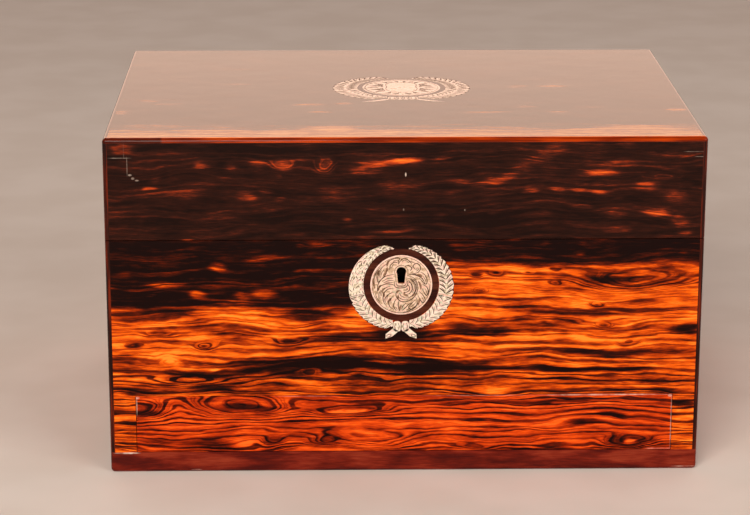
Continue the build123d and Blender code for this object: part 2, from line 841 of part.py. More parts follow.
def nodes():
    """Every node of the box by name, each a list of separate solids."""
    return {
        "base_board": base_board(),
        "body_front_board": body_front_board(),
        "body_back_board": body_back_board(),
        "body_side_boards": body_side_boards(),
        "body_veneer_front": body_veneer_front(),
        "body_veneer_back": body_veneer_back(),
        "body_veneer_sides": body_veneer_sides(),
        "body_corner_edgings": corner_strips(base_height, body_top, rounding),
        "dust_board": dust_board_solid(),
        "drawer_guides": drawer_guides(),
        "drawer_spring": drawer_spring(),
        "well_facings": well_facings(),
        "well_floor_pad": well_floor_pad(),
        "well_dividers": well_dividers(),
        "keyhole_roundel": keyhole_roundel(),
        "escutcheon_ring": escutcheon_ring(),
        "escutcheon_wreath": escutcheon_wreath(),
        "lock_case": lock_case(),
        "hinge_leaves_body": hinge_leaves(False),
        "hinge_pins": hinge_pins(),
        "case_screws": screws(-1),
        "lid_top_board": lid_top_board(),
        "lid_front_board": lid_front_board(),
        "lid_back_board": lid_back_board(),
        "lid_side_boards": lid_side_boards(),
        "lid_veneer_top": lid_veneer_top(),
        "lid_veneer_front": lid_veneer_front(),
        "lid_veneer_back": lid_veneer_back(),
        "lid_veneer_sides": lid_veneer_sides(),
        "lid_edgings": lid_edgings(),
        "lid_roundel": lid_roundel(),
        "lid_ring": lid_ring(),
        "lid_wreath": lid_wreath(),
        "hinge_leaves_lid": hinge_leaves(True),
        "lock_link_plate": lock_link_plate(),
        "lid_screws": screws(1),
        "mirror_frame": mirror_frame(),
        "mirror_plate": mirror_plate(),
        "drawer_front": drawer_front(),
        "drawer_veneer": drawer_veneer(),
        "drawer_sides": drawer_sides(),
        "drawer_back": drawer_back(),
        "drawer_bottom": drawer_bottom(),
        "drawer_pad": drawer_pad_solid(),
        "release_pin": release_pin(),
        "lock_bolt": lock_bolt(),
        "tray_frame": tray_frame(),
        "tray_bottom": tray_bottom_solid(),
        "tray_dividers": tray_dividers(),
        "tray_knobs": tray_knobs(),
        **vessels(),
    }


os.makedirs("parts", exist_ok=True)
for name, shapes in nodes().items():
    solids = [solid for shape in shapes for solid in shape.solids()]
    export_step(Compound(solids) if len(solids) > 1 else solids[0], f"parts/{name}.step")
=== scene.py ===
"""Looks for the vanity box: coromandel and engraved pearl outside, velvet, glass and silver inside.

Sizes are in millimetres unless a name or comment says otherwise, and turn to metres where a mesh is made.
"""

import bpy
import bmesh
import math
import random
from mathutils import Matrix, Vector, noise


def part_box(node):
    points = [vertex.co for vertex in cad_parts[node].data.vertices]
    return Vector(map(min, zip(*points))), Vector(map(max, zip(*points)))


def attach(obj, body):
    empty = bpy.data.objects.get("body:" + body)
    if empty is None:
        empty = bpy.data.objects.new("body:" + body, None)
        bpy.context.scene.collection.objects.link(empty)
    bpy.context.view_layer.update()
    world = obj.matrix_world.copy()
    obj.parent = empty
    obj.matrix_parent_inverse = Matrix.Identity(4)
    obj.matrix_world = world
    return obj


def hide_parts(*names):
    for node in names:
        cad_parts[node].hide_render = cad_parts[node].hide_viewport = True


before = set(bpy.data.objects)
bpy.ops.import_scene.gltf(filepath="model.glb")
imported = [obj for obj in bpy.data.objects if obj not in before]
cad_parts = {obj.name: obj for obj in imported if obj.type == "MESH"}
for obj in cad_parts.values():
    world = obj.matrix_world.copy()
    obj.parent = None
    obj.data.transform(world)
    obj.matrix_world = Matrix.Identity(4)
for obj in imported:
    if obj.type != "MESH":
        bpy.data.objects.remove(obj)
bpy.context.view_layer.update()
MM = 0.001

# The case, as the solids have it: well_side is how far the well's side walls are from the middle
half_width, half_depth, case_height = 152.5, 114.5, 178.0
seam_z, edging = 125.0, 2.4
well_side = 140.3

# The inlays: where the middle of each roundel lies, the outer radius of the ring round it, and the sizes of
# its wreath
front_roundel = {"x": -2.0, "up": 101.0, "ring": 19.2}
lid_roundel = {"x": 1.5, "up": 6.8, "ring": 24.0}
front_wreath = {
    "width": 7.65, "shift": 4.3, "drop": 1.2, "tip": 3.6, "crown": 7.2,
    "foot": 4.0, "foot_drop": 3.0, "heel": 9.0,
    "knots": [(2.1, 1.95)], "knot_height": 5.7,
    "ribbon": [(-1.0, -2.4), (2.4, -5.4), (5.9, -6.6), (5.8, -4.1), (1.9, -0.9)],
}
lid_wreath = {
    "width": 13.5, "shift": 7.5, "drop": 1.0, "tip": 6.4, "crown": 11.0,
    "foot": 8.4, "foot_drop": 1.6, "heel": 19.0,
    "knots": [(1.6, 1.4), (5.7, 2.4)], "knot_height": 6.8,
    "ribbon": [(0.0, -2.6), (8.5, -7.4), (16.8, -9.2), (9.3, -5.4), (2.6, -1.6)],
}
spray_joint_slope = 0.24
keyhole_rise, keyhole_radius, keyhole_depth, keyhole_foot = 7.0, 2.5, 6.3, 1.65

# The pearl's plates: their gaps, how far they go down and stand up, and how much their edges are eased
pearl_gap, pearl_depth, pearl_proud, pearl_easing = 0.15, 0.6, 0.03, 0.12
# The engraving: how deep its wax goes, and how far it stands up on the roundels, in shallow cuts, on the
# front's rim and on the wreaths
cut_depth, cut_proud, shallow_proud, rim_proud, wreath_cut_proud = 0.06, 0.04, 0.03, 0.05, 0.055
# How far the wax in the wreaths' seats lies below the veneer
seat_wax_drop = 0.08
# Where a ring's stroke ends, in degrees, just short of its start
ring_end = 359.9


# Materials

# A mix node's inputs and its output when it mixes colours, numbers or vectors
COLOUR_A, COLOUR_B, MIXED_COLOUR = 6, 7, 2
NUMBER_A, NUMBER_B = 2, 3
VECTOR_A, VECTOR_B, MIXED_VECTOR = 4, 5, 1


def rgb(hex_colour):
    """An sRGB hex colour as linear red, green, blue and alpha."""
    parts = [int(hex_colour[i:i + 2], 16) / 255 for i in (1, 3, 5)]
    return [p / 12.92 if p <= 0.04045 else ((p + 0.055) / 1.055) ** 2.4 for p in parts] + [1.0]


def feed(tree, node, inputs):
    """Gives each of these inputs of a node a value, a socket, or a node whose first output it takes."""
    for key, value in inputs.items():
        if isinstance(value, bpy.types.Node):
            value = value.outputs[0]
        if isinstance(value, bpy.types.NodeSocket):
            tree.links.new(value, node.inputs[key])
        else:
            node.inputs[key].default_value = value


def add(tree, kind, *inputs, named=(), stops=(), **settings):
    """Adds a node with its settings and links: its first inputs in order, then others by name or place."""
    node = tree.nodes.new("ShaderNode" + kind)
    for setting, value in settings.items():
        setattr(node, setting, value)
    feed(tree, node, dict(enumerate(inputs)))
    feed(tree, node, dict(named))
    if stops:
        elements = node.color_ramp.elements
        while len(elements) < len(stops):
            elements.new(0.5)
        for element, (place, colour) in zip(elements, stops):
            element.position = place
            element.color = rgb(colour)
    return node


def finish_of(name, **values):
    """A new material with its shader, and the object's own coordinates in millimetres."""
    material = bpy.data.materials.new(name)
    material.use_nodes = True
    tree = material.node_tree
    shader = tree.nodes["Principled BSDF"]
    feed(tree, shader, {key.replace("_", " "): value for key, value in values.items()})
    metres = add(tree, "TexCoord").outputs["Object"]
    place = add(tree, "VectorMath", metres, named={"Scale": 1 / MM}, operation="SCALE")
    return material, tree, shader, place


def patches(tree, place, sizes, low=0.0, high=1.0, detail=2.0, spread=0.2):
    """Soft patches of these sizes in millimetres, whose strength runs from low to high."""
    stretched = add(tree, "VectorMath", place, [1 / size for size in sizes], operation="MULTIPLY")
    clouds = add(tree, "TexNoise", stretched, named={"Scale": 1.0, "Detail": detail})
    return add(
        tree, "MapRange", clouds, 0.5 - spread, 0.5 + spread, low, high, interpolation_type="SMOOTHSTEP",
    )


def ovals(tree, place, marks, column, core):
    """The sum of soft-edged ovals; a mark is its x, y, half length, half height, darkness and hill.

    column says which of the last two is summed, 0 for the darkness and 1 for the hill. An oval is at its full
    strength within core of its size, and fades out at outermost.
    """
    outermost = 1.3
    whole = 0.0
    for x, y, length, height, *values in marks:
        if column < len(values) and values[column]:
            local = add(
                tree, "VectorMath", place, (1 / length, 1 / height, 0), (-x / length, -y / height, 0),
                operation="MULTIPLY_ADD",
            )
            far = add(tree, "VectorMath", local, operation="LENGTH").outputs["Value"]
            oval = add(
                tree, "MapRange", far, outermost, core, 0.0, values[column], interpolation_type="SMOOTHSTEP",
            )
            whole = add(tree, "Math", whole, oval)
    return whole


# Coromandel from its orange ground to its near-black streaks; the drawer's sheet is redder, those of the
# lid's sides are browner, and the lid's top has faded in the light
COROMANDEL = (
    (0.0, "#ff8c2a"), (0.12, "#f46c14"), (0.26, "#da5409"), (0.4, "#ac3806"),
    (0.54, "#7a2204"), (0.68, "#4a1304"), (0.85, "#280b05"), (1.0, "#140504"),
)
RED_COROMANDEL = (
    (0.0, "#f86c20"), (0.12, "#ea5612"), (0.26, "#ce400a"), (0.4, "#a42c07"),
    (0.54, "#781c04"), (0.68, "#4e1104"), (0.85, "#2c0a05"), (1.0, "#160504"),
)
DARK_COROMANDEL = (
    (0.0, "#f07626"), (0.2, "#cc4c1a"), (0.36, "#983414"), (0.48, "#5e2110"),
    (0.58, "#40180e"), (0.7, "#2c120b"), (1.0, "#180906"),
)
FADED_COROMANDEL = (
    (0.0, "#eca050"), (0.2, "#d48238"), (0.36, "#ac5e26"), (0.5, "#70381a"),
    (0.64, "#422010"), (0.78, "#2a130a"), (1.0, "#180a06"),
)


def warped(tree, board):
    """A board's coordinates with waves 80 mm long, bends 24 mm long and wiggles 7 mm long in them."""
    figure = board
    for sizes, reach in (((80, 26, 40), (12, 12, 0)), ((24, 8, 40), (5, 3, 0)), ((7, 3, 40), (1.2, 0.6, 0))):
        stretched = add(tree, "VectorMath", board, [1 / size for size in sizes], operation="MULTIPLY")
        swirl = add(tree, "TexNoise", stretched, named={"Scale": 1.0}).outputs["Color"]
        centred = add(tree, "VectorMath", swirl, (-0.5, -0.5, -0.5))
        figure = add(tree, "VectorMath", centred, reach, figure, operation="MULTIPLY_ADD")
    return figure


def dark_zone(tree, place_along, level, zone):
    """How much darker the wood is above a border that runs from one end's height to the other's."""
    zone_darkness = 0.65
    left_x, right_x, left_y, right_y = zone
    border = add(
        tree, "MapRange", place_along, left_x, right_x, left_y, right_y, interpolation_type="SMOOTHSTEP",
    )
    above = add(tree, "Math", level, border, operation="SUBTRACT")
    return add(tree, "MapRange", above, -2.2, 1.8, 0.0, zone_darkness, interpolation_type="SMOOTHSTEP")


def flecked(tree, figure, tone, fleck):
    """The tone, lighter by up to fleck in short orange flecks where the dark wood opens."""
    cells = add(tree, "VectorMath", figure, (1 / 9, 1 / 3, 1), operation="MULTIPLY")
    cell = add(tree, "TexVoronoi", cells, named={"Scale": 1.0})
    chance = add(tree, "SeparateColor", cell.outputs["Color"])
    chosen = add(tree, "MapRange", chance, 0.75, 0.95, 0.0, -fleck)
    inside = add(tree, "MapRange", cell.outputs["Distance"], 0.42, 0.1)
    in_dark = add(tree, "MapRange", tone, 0.6, 0.8)
    opened = add(tree, "Math", chosen, inside, operation="MULTIPLY")
    return add(tree, "Math", opened, in_dark, tone, operation="MULTIPLY_ADD")


def coromandel(name, along, across, ground, marks=(), zone=None, lined=(64, 50), lines=0.4, patchy=1.0,
               fleck=0.3, seed=0.0, stops=COROMANDEL, mirror=0.07, pale_marks=()):
    """Coromandel, a striped ebony, cut as veneer and French polished.

    That gives near-black streaks, eyes and growth lines over an orange ground, under a deep gloss.
    ground is how dark the wood is from 0 to 1. zone says where it turns dark higher up: the two ends of the
    border, and its height at each. The growth lines show most below lined. The pale marks are worn polish,
    and on the drawer's edges painted highlights too.
    """
    line_spacing = 2.1
    material, tree, shader, place = finish_of(name, Roughness=0.06, IOR=1.5, Specular_IOR_Level=mirror)
    axes = add(tree, "SeparateXYZ", place)
    board = add(tree, "CombineXYZ", axes.outputs[along], axes.outputs[across], seed)
    figure = warped(tree, board)
    level = add(tree, "SeparateXYZ", figure).outputs[1]

    # Growth lines, which close round the eyes where the wood's level has a hill
    swells = patches(tree, figure, (40, 8, 40), 0.0, 2.2)
    hills = add(tree, "Math", ovals(tree, figure, marks, 1, 0.0), swells)
    rise = add(tree, "Math", level, hills)
    growth = add(
        tree, "TexNoise", noise_dimensions="1D", named={"W": rise, "Scale": 1 / line_spacing, "Detail": 2.0},
    )
    most = add(tree, "MapRange", axes.outputs[across], lined[0], lined[1], 0.45 * lines, lines)
    shown = add(tree, "Math", most, patches(tree, board, (30, 8, 40), 0.4, 1.0), operation="MULTIPLY")
    dark_line = add(tree, "MapRange", growth, 0.48, 0.6, 0.0, 1.0, interpolation_type="SMOOTHSTEP")
    tone = add(tree, "Math", dark_line, shown, ground, operation="MULTIPLY_ADD")
    for layer in (
        add(tree, "MapRange", growth, 0.5, 0.36, 0.0, -0.12, interpolation_type="SMOOTHSTEP"),
        patches(tree, figure, (34, 7, 40), -0.16 * patchy, 0.2 * patchy),
        patches(tree, figure, (14, 3, 40), -0.12 * patchy, 0.18 * patchy, detail=3.0),
        patches(tree, figure, (36, 1.4, 40), -0.08 * patchy, 0.1 * patchy, detail=3.0),
        patches(tree, board, (5, 0.35, 40), -0.09, 0.09),
        ovals(tree, figure, marks, 0, 0.3),
    ):
        tone = add(tree, "Math", tone, layer)
    if zone:
        tone = add(tree, "Math", tone, dark_zone(tree, axes.outputs[along], level, zone))
    colour = add(tree, "ValToRGB", flecked(tree, figure, tone, fleck), stops=stops)

    # The hand-rubbed polish is a little uneven over 30 mm
    uneven = add(tree, "Bump", named={"Height": patches(tree, place, (30, 30, 30)), "Distance": 0.03 * MM})
    feed(tree, shader, {"Base Color": pale_wear_and_highlights(tree, board, colour, pale_marks), "Normal": uneven})
    return material


def pale_wear_and_highlights(tree, place, colour, pale_marks):
    """The colour with pale broken marks in places: worn polish where an edge has lost it, and painted
    highlights where an edge catches the light.
    """
    if not pale_marks:
        return colour
    amount = add(
        tree, "Math", ovals(tree, place, pale_marks, 0, 0.7), patches(tree, place, (5, 5, 40), 0.15, 1.0),
        operation="MULTIPLY",
    )
    worn = add(tree, "Mix", amount, named={COLOUR_A: colour, COLOUR_B: rgb("#e0c8b8")}, data_type="RGBA")
    return worn.outputs[MIXED_COLOUR]


def edging_wood(name, strip_from=None):
    """Edging strips of the same wood, polished: near-black at the corners, orange-red along the lid's front.

    strip_from is where the orange-red strip starts, from the left.
    """
    material, tree, shader, place = finish_of(name, Roughness=0.08, IOR=1.5, Specular_IOR_Level=0.14)
    tone = patches(tree, place, (1.2, 1.2, 24), 0.6, 0.96, detail=3.0)
    if strip_from is not None:
        blend = 0.1
        strip_foot, strip_back = case_height - edging, -half_depth + edging + 0.5
        x, y, z = add(tree, "SeparateXYZ", place).outputs
        upper = add(tree, "MapRange", z, strip_foot - blend, strip_foot + blend)
        front = add(tree, "MapRange", y, strip_back + blend, strip_back - blend)
        on_strip = add(tree, "Math", upper, front, operation="MULTIPLY")
        strip = patches(tree, place, (30, 9, 1.2), 0.38, 0.62, detail=3.0)
        strip = add(tree, "Math", strip, add(tree, "MapRange", x, strip_from, strip_from + 1.5, 0.2, 0.0))
        # Painted highlight: the strip's upper face, the lid's top front edge, is made paler
        top_edge_highlight = add(tree, "MapRange", z, case_height - 0.12, case_height - 0.02, 0.0, -0.36)
        strip = add(tree, "Math", strip, top_edge_highlight)
        tone = add(tree, "Mix", on_strip, named={NUMBER_A: tone, NUMBER_B: strip})
    colour = add(tree, "ValToRGB", tone, stops=COROMANDEL)
    feed(tree, shader, {"Base Color": colour})
    return material


def rosewood(name, colours, pale_marks=()):
    """Rosewood, French polished: a plain dark red-brown with soft mottling and thin darker pores."""
    material, tree, shader, place = finish_of(name, Roughness=0.1, IOR=1.5, Specular_IOR_Level=0.1)
    mottle = patches(tree, place, (26, 26, 6), 0.0, 0.75, detail=4.0)
    pores = patches(tree, place, (7, 7, 0.35), 0.0, 0.25)
    tone = add(tree, "Math", mottle, pores)
    colour = add(tree, "ValToRGB", tone, stops=list(zip((0.1, 0.4, 0.65, 1.0), colours)))
    x, _, z = add(tree, "SeparateXYZ", place).outputs
    colour = pale_wear_and_highlights(tree, add(tree, "CombineXYZ", x, z), colour, pale_marks)
    feed(tree, shader, {"Base Color": colour})
    return material


def mahogany(name, side_x):
    """Mahogany, planed and oiled: even red-brown with short dark pores and a soft sheen.

    The boards run from left to right, and those further out than side_x from front to back.
    """
    material, tree, shader, place = finish_of(name, Roughness=0.42, IOR=1.45)
    x, y, z = add(tree, "SeparateXYZ", place).outputs
    turned = add(tree, "CombineXYZ", y, x, z)
    at_side = add(tree, "Math", add(tree, "Math", x, operation="ABSOLUTE"), side_x, operation="GREATER_THAN")
    board = add(tree, "Mix", at_side, named={VECTOR_A: place, VECTOR_B: turned}, data_type="VECTOR")
    board = board.outputs[MIXED_VECTOR]
    streaks = patches(tree, board, (30, 1.1, 1.1), 0.0, 0.6, detail=3.0)
    tone = add(tree, "Math", patches(tree, board, (90, 9, 9), 0.0, 0.4), streaks)
    colour = add(tree, "ValToRGB", tone, stops=(
        (0.1, "#4a1e10"), (0.4, "#6e321c"), (0.65, "#864228"), (1.0, "#9c5434"),
    ))
    relief = add(tree, "Bump", named={"Height": streaks, "Distance": 0.06 * MM})
    feed(tree, shader, {"Base Color": colour, "Normal": relief})
    return material


def velvet(name):
    """Cotton velvet: deep crimson pile that is lighter where it is brushed and glows at glancing angles."""
    material, tree, shader, place = finish_of(
        name, Roughness=0.95, IOR=1.4, Sheen_Weight=0.8, Sheen_Roughness=0.35, Sheen_Tint=rgb("#ff8aa0"),
        Specular_IOR_Level=0.2,
    )
    brushed = patches(tree, place, (24, 24, 24), 0.15, 0.6, detail=3.0)
    # The pile's tufts are 0.3 mm apart, drawn at 0.7 mm so that they show
    pile = patches(tree, place, (0.7, 0.7, 0.7), 0.0, 0.3, detail=1.0)
    tone = add(tree, "Math", brushed, pile)
    colour = add(tree, "ValToRGB", tone, stops=((0.1, "#4a0a18"), (0.5, "#6e1226"), (0.9, "#962038")))
    relief = add(tree, "Bump", named={"Height": pile, "Distance": 0.25 * MM})
    feed(tree, shader, {"Base Color": colour, "Normal": relief})
    return material


def pearl(name, *colours):
    """Mother-of-pearl, ground flat and polished: cream with pools of pink and green under a wet gloss."""
    material, tree, shader, place = finish_of(
        name, Roughness=0.22, IOR=1.53, Coat_Weight=0.4, Coat_Roughness=0.08,
    )
    pools = patches(tree, place, (5, 5, 3), 0.0, 0.7)
    rays = patches(tree, place, (1.4, 6, 1.4), 0.0, 0.3)
    tone = add(tree, "Math", pools, rays)
    colour = add(tree, "ValToRGB", tone, stops=list(zip((0.08, 0.28, 0.48, 0.68, 0.92), colours)))
    layers = add(tree, "Bump", named={"Height": rays, "Distance": 0.05 * MM})
    feed(tree, shader, {"Base Color": colour, "Normal": layers})
    return material


def wax(name, colour, dark="#1c100c"):
    """Dark wax rubbed into cut lines and seats: dry, matt, and uneven from dirt."""
    material, tree, shader, place = finish_of(name, Roughness=0.8, IOR=1.44, Specular_IOR_Level=0.1)
    grit = patches(tree, place, (0.8, 0.8, 0.8))
    shade = add(tree, "Mix", grit, named={COLOUR_A: rgb(colour), COLOUR_B: rgb(dark)}, data_type="RGBA")
    feed(tree, shader, {"Base Color": shade.outputs[MIXED_COLOUR]})
    return material


def brass(name, dark_below=None):
    """Cast brass, filed and polished long ago: warm yellow, toned brown in places.

    Under the height dark_below, if there is one, it lies deep in the wood behind the keyhole and is painted
    near-black there as shade.
    """
    material, tree, shader, place = finish_of(name, Metallic=1.0)
    toning = patches(tree, place, (7, 7, 7), detail=3.0)
    colour = add(tree, "ValToRGB", toning, stops=((0.1, "#8a6428"), (0.5, "#c89c4c"), (0.9, "#e0bc6c")))
    if dark_below is not None:
        height = add(tree, "SeparateXYZ", place).outputs[2]
        # Painted shade: below dark_below the brass turns near-black, for the shaded inside of the keyhole
        painted_shade = add(tree, "MapRange", height, dark_below, dark_below - 1)
        colour = add(tree, "Mix", painted_shade, named={COLOUR_A: colour, COLOUR_B: rgb("#0c0806")}, data_type="RGBA")
        colour = colour.outputs[MIXED_COLOUR]
    worn = add(tree, "MapRange", toning, 0.0, 1.0, 0.42, 0.2)
    strokes_of_file = patches(tree, place, (0.5, 6, 0.5), detail=1.0)
    filed = add(tree, "Bump", named={"Height": strokes_of_file, "Distance": 0.02 * MM})
    feed(tree, shader, {"Base Color": colour, "Roughness": worn, "Normal": filed})
    return material


def blued_steel(name):
    """Spring steel, blued by heat: dark blue-grey with straw-coloured ends."""
    material, tree, shader, place = finish_of(name, Metallic=1.0)
    heat = patches(tree, place, (30, 30, 8))
    colour = add(tree, "ValToRGB", heat, stops=((0.1, "#2c3346"), (0.6, "#4a5368"), (0.95, "#7a6a54")))
    sheen = add(tree, "MapRange", heat, 0.0, 1.0, 0.25, 0.4)
    feed(tree, shader, {"Base Color": colour, "Roughness": sheen})
    return material


def silvered_glass(name):
    """Mirror glass, silvered on the back: a clear reflection with a little foxing."""
    material, tree, shader, place = finish_of(name, Metallic=1.0)
    clear = patches(tree, place, (9, 9, 9), detail=4.0, spread=0.32)
    colour = add(tree, "ValToRGB", clear, stops=((0.0, "#8e8a7c"), (0.12, "#d6d8d4"), (1.0, "#e4e6e4")))
    dulled = add(tree, "MapRange", clear, 0.0, 0.15, 0.3, 0.02)
    feed(tree, shader, {"Base Color": colour, "Roughness": dulled})
    return material


def cut_glass(name):
    """Lead crystal, cut and polished: clear, bright at its edges, with the faintest green."""
    material, tree, shader, place = finish_of(name, IOR=1.54, Transmission_Weight=1.0)
    wiped = patches(tree, place, (14, 14, 14))
    colour = add(tree, "ValToRGB", wiped, stops=((0.0, "#eef6f2"), (1.0, "#fbfefd")))
    smears = add(tree, "MapRange", wiped, 0.0, 1.0, 0.02, 0.06)
    feed(tree, shader, {"Base Color": colour, "Roughness": smears})
    return material


def silver_plate(name):
    """Silver plate, spun and burnished: bright, with grey tarnish and fine rubbing marks."""
    material, tree, shader, place = finish_of(name, Metallic=1.0)
    tarnish = patches(tree, place, (16, 16, 16), spread=0.3)
    colour = add(tree, "ValToRGB", tarnish, stops=((0.0, "#c6beb0"), (0.5, "#dedad2"), (1.0, "#eeebe4")))
    bright = add(tree, "MapRange", tarnish, 0.0, 1.0, 0.36, 0.26)
    marks = patches(tree, place, (0.4, 9, 0.4), detail=1.0)
    rubbed = add(tree, "Bump", named={"Height": marks, "Distance": 0.004 * MM})
    feed(tree, shader, {"Base Color": colour, "Roughness": bright, "Normal": rubbed})
    return material


def studio_floor(name):
    """A matt painted floor, pale and slightly warm."""
    material, tree, shader, place = finish_of(name, Roughness=0.85, Specular_IOR_Level=0.1)
    rolled = patches(tree, place, (60, 60, 60))
    colour = add(tree, "ValToRGB", rolled, stops=((0.0, "#e2d8d0"), (1.0, "#e8dfd8")))
    feed(tree, shader, {"Base Color": colour})
    return material


# The veneers' figure, its marks drawn one by one, on the unseen back and sides by guess: each mark is its x,
# height, half length, half height, darkness and hill
front_figure = [
    (-57, 57, 44, 6.2, 0.62), (2, 57, 62, 4.6, 0.66), (-104, 54, 24, 1.6, 0.5), (-10, 73.5, 46, 4.6, 0.62),
    (37, 77, 22, 2.4, 0.6), (95, 66, 56, 2.0, 0.5), (92, 56, 50, 1.8, 0.56), (93, 86, 34, 1.6, 0.4),
    (118, 104.5, 32, 6.5, 0.38, 13), (-2, 80, 16, 5.0, 0.6), (107, 105, 15, 2.6, 0.3),
    (146, 77, 9, 2.4, 0.5), (139, 45, 12, 1.8, 0.4), (145, 37, 7, 3.0, 0.5), (-140, 69, 6, 2.2, 0.36, 3),
    (-100, 69, 7, 3.0, 0.2, 7), (-121, 62, 6.5, 3.0, -0.35, -3), (-100, 46, 12, 2.2, 0.56),
    (-130, 55, 22, 1.2, 0.5), (-137, 44, 11, 2.6, 0.3), (-86, 75, 14, 2.4, 0.3),
    (-59, 72, 12, 3.4, 0.25, 6), (-50, 54, 7, 1.8, -0.4, -3), (-97, 58, 4, 0.9, -0.4),
    (-15, 58, 10, 0.9, -0.3), (36, 104, 4, 2.0, 0.3, 3), (46, 106, 5, 2.4, 0.34, 4),
    (62, 108, 4, 1.6, 0.2, 3), (77, 109, 4, 1.6, 0.2, 3), (77, 101, 5, 1.6, 0.22, 3),
    (38, 96, 5, 1.6, 0.2, 3), (99, 91, 5, 1.6, 0.3, 3), (104, 81, 5, 1.8, 0.2, 4),
    (116, 71, 6, 2.0, 0.2, 4), (80, 96, 40, 4.0, -0.1), (100, 73, 34, 3.0, -0.1), (-80, 82, 30, 3.0, -0.1),
    (30, 90, 24, 3.0, -0.08), (-96, 111.5, 7, 2.6, -0.55), (-121, 103, 11, 1.8, -0.5),
    (-104, 97, 6, 2.6, -0.6), (-72, 98, 8, 2.4, -0.55), (-84, 97, 5, 1.8, -0.35),
    (-43, 121.8, 7, 1.2, -0.44), (-76, 120, 6, 0.9, -0.3), (-50, 87, 12, 3, 0.5), (-122, 86.5, 22, 3, 0.5),
    (-88, 93, 14, 2.2, -0.35), (-110, 50, 22, 5, 0.0, 7), (-126, 76, 9, 2.6, 0.12, 5),
    (20, 52, 60, 3.5, 0.12), (60, 89, 40, 3.5, 0.14), (70, 82, 26, 2.2, 0.2), (0, 47, 400, 5, 0.12),
]
drawer_figure = [
    (-138, 33, 19, 6.5, 0.1, 13), (-134, 32, 8, 1.6, 0.4), (-86, 34, 32, 7.5, 0.05, 15),
    (-84, 34, 15, 2.2, 0.5), (-29, 33, 32, 5.0, 0.2, 9), (-29, 33, 12, 1.7, -0.6),
    (-101, 16, 15, 3.8, 0.42), (-80, 16, 10, 3.6, -0.2), (-128, 17, 9, 2.6, 0.3),
    (-66, 17, 7, 3.0, 0.36, 4), (-42, 15, 9, 3.2, 0.2, 7), (117, 15, 16, 4.4, 0.4, 8),
    (117, 15, 4.2, 1.3, -0.7), (106, 29, 9, 1.5, 0.5), (94, 25, 10, 1.5, 0.5), (70, 12.5, 18, 1.4, 0.5),
    (20, 24, 60, 3.5, -0.08), (60, 38, 60, 1.0, 0.3), (-20, 18, 30, 5.0, 0.0, 8), (36, 14, 14, 2.2, 0.2, 4),
]
lid_front_figure = [
    (-103, 162, 5, 2.4, -0.34), (-87, 162, 4.5, 2.2, -0.26), (-73, 164, 6, 2.6, -0.34),
    (-62, 164, 7, 3.2, -0.4, 5), (-41, 164, 6, 4.4, -0.32, 7), (-19, 162, 13, 1.8, -0.34),
    (-8, 165.5, 15, 2.2, -0.42), (5, 166, 9, 1.8, -0.38), (20, 166.5, 6, 1.6, -0.3),
    (-126, 157, 4, 2.0, -0.24), (-129, 152.5, 4.5, 1.4, -0.28), (-80, 147, 6, 2.6, -0.38),
    (-71, 150, 4, 1.6, -0.25), (-111, 149, 9, 4, -0.2), (-64, 146, 4, 1.4, -0.25),
    (-110, 126.5, 5, 1.2, -0.34), (-30, 135.5, 3, 1.0, -0.34), (-32, 149, 12, 6, -0.16),
    (-6, 152, 12, 5, -0.18), (-6, 128, 10, 1.5, -0.28), (41, 151.5, 9, 2.2, -0.34),
    (47, 153.5, 8, 2.4, -0.32), (53, 157, 7, 2.6, -0.28), (58, 160.5, 7, 2.6, -0.26),
    (63, 164, 7, 2.8, -0.24), (68, 167.5, 7, 2.8, -0.22), (74, 171, 8, 3.0, -0.22),
    (99, 160, 10, 2.6, -0.4), (94, 161, 12, 5, -0.16), (110, 165, 14, 3.2, -0.2), (134, 169, 15, 2.6, -0.2),
    (127, 157, 10, 2.4, -0.32, 5), (120, 151, 8, 3.2, -0.3), (65, 147, 5, 1.4, -0.36),
    (78, 149, 5, 1.4, -0.28), (88, 149, 5, 1.4, -0.28), (98, 148, 5, 1.4, -0.3), (137, 145, 7, 3.6, -0.28),
    (67, 135.5, 9, 1.6, -0.34), (91, 140, 8, 1.6, -0.3), (127, 138, 8, 2.6, -0.38),
    (139, 135, 6, 3.2, -0.34), (106, 136, 8, 1.5, -0.3), (106, 130, 10, 1.8, -0.28),
    (142, 129, 5, 1.6, -0.36), (27, 154, 8, 2.0, -0.22), (3, 129.5, 10, 2.0, -0.22),
    (34, 129.5, 9, 1.8, -0.2), (110, 174, 6, 2.8, -0.22), (-142, 172.5, 8, 2.6, -0.5),
    (-146, 142, 8, 8, -0.12), (-30, 134, 60, 8, 0.12), (40, 136, 40, 8, 0.12), (-90, 172, 60, 4, 0.12),
    (30, 174, 60, 3, 0.1),
]
lid_top_figure_and_light = [
    # The first mark is painted light: it makes the whole top paler towards its front edge
    (0, -112, 400, 25, -0.5), (-38, -93, 16, 7, -0.26), (121, -92, 30, 7, -0.24), (-130, -87, 20, 5, -0.2),
    (-95, -86, 10, 3, -0.18), (83.5, 10, 9, 4.5, -0.36), (65, 10, 7, 4, -0.26), (-92, 17, 14, 5, -0.16),
    (-90, 60, 22, 6, -0.12), (-135, -29, 8, 4, -0.3), (-124, -36, 10, 4, -0.22), (-33, -32, 6, 4, -0.26),
    (-148, -55, 6, 5, -0.3), (-49.5, -35, 10, 4.5, -0.28), (44.5, -56, 14, 4, -0.3), (66, -41, 8, 4, -0.24),
    (145, -50, 9, 4.5, -0.28), (83, -56, 9, 4, -0.2), (100, -44, 10, 4, -0.18), (-45, -54, 7, 4, -0.26),
]
back_figure = [
    (-70, 52, 60, 5.5, 0.6), (60, 72, 52, 4.5, 0.55), (-110, 78, 26, 5.0, 0.1, 9),
    (96, 36, 34, 6.0, 0.1, 12), (98, 36, 14, 2.0, 0.4), (-20, 30, 30, 5.0, 0.05, 9), (20, 88, 40, 4.0, 0.3),
    (-126, 28, 18, 3.0, 0.4), (10, 58, 12, 2.0, -0.4), (-60, 84, 9, 2.4, 0.25, 6),
    (130, 60, 12, 3.0, 0.3, 6), (0, 16, 120, 3.0, 0.2),
]
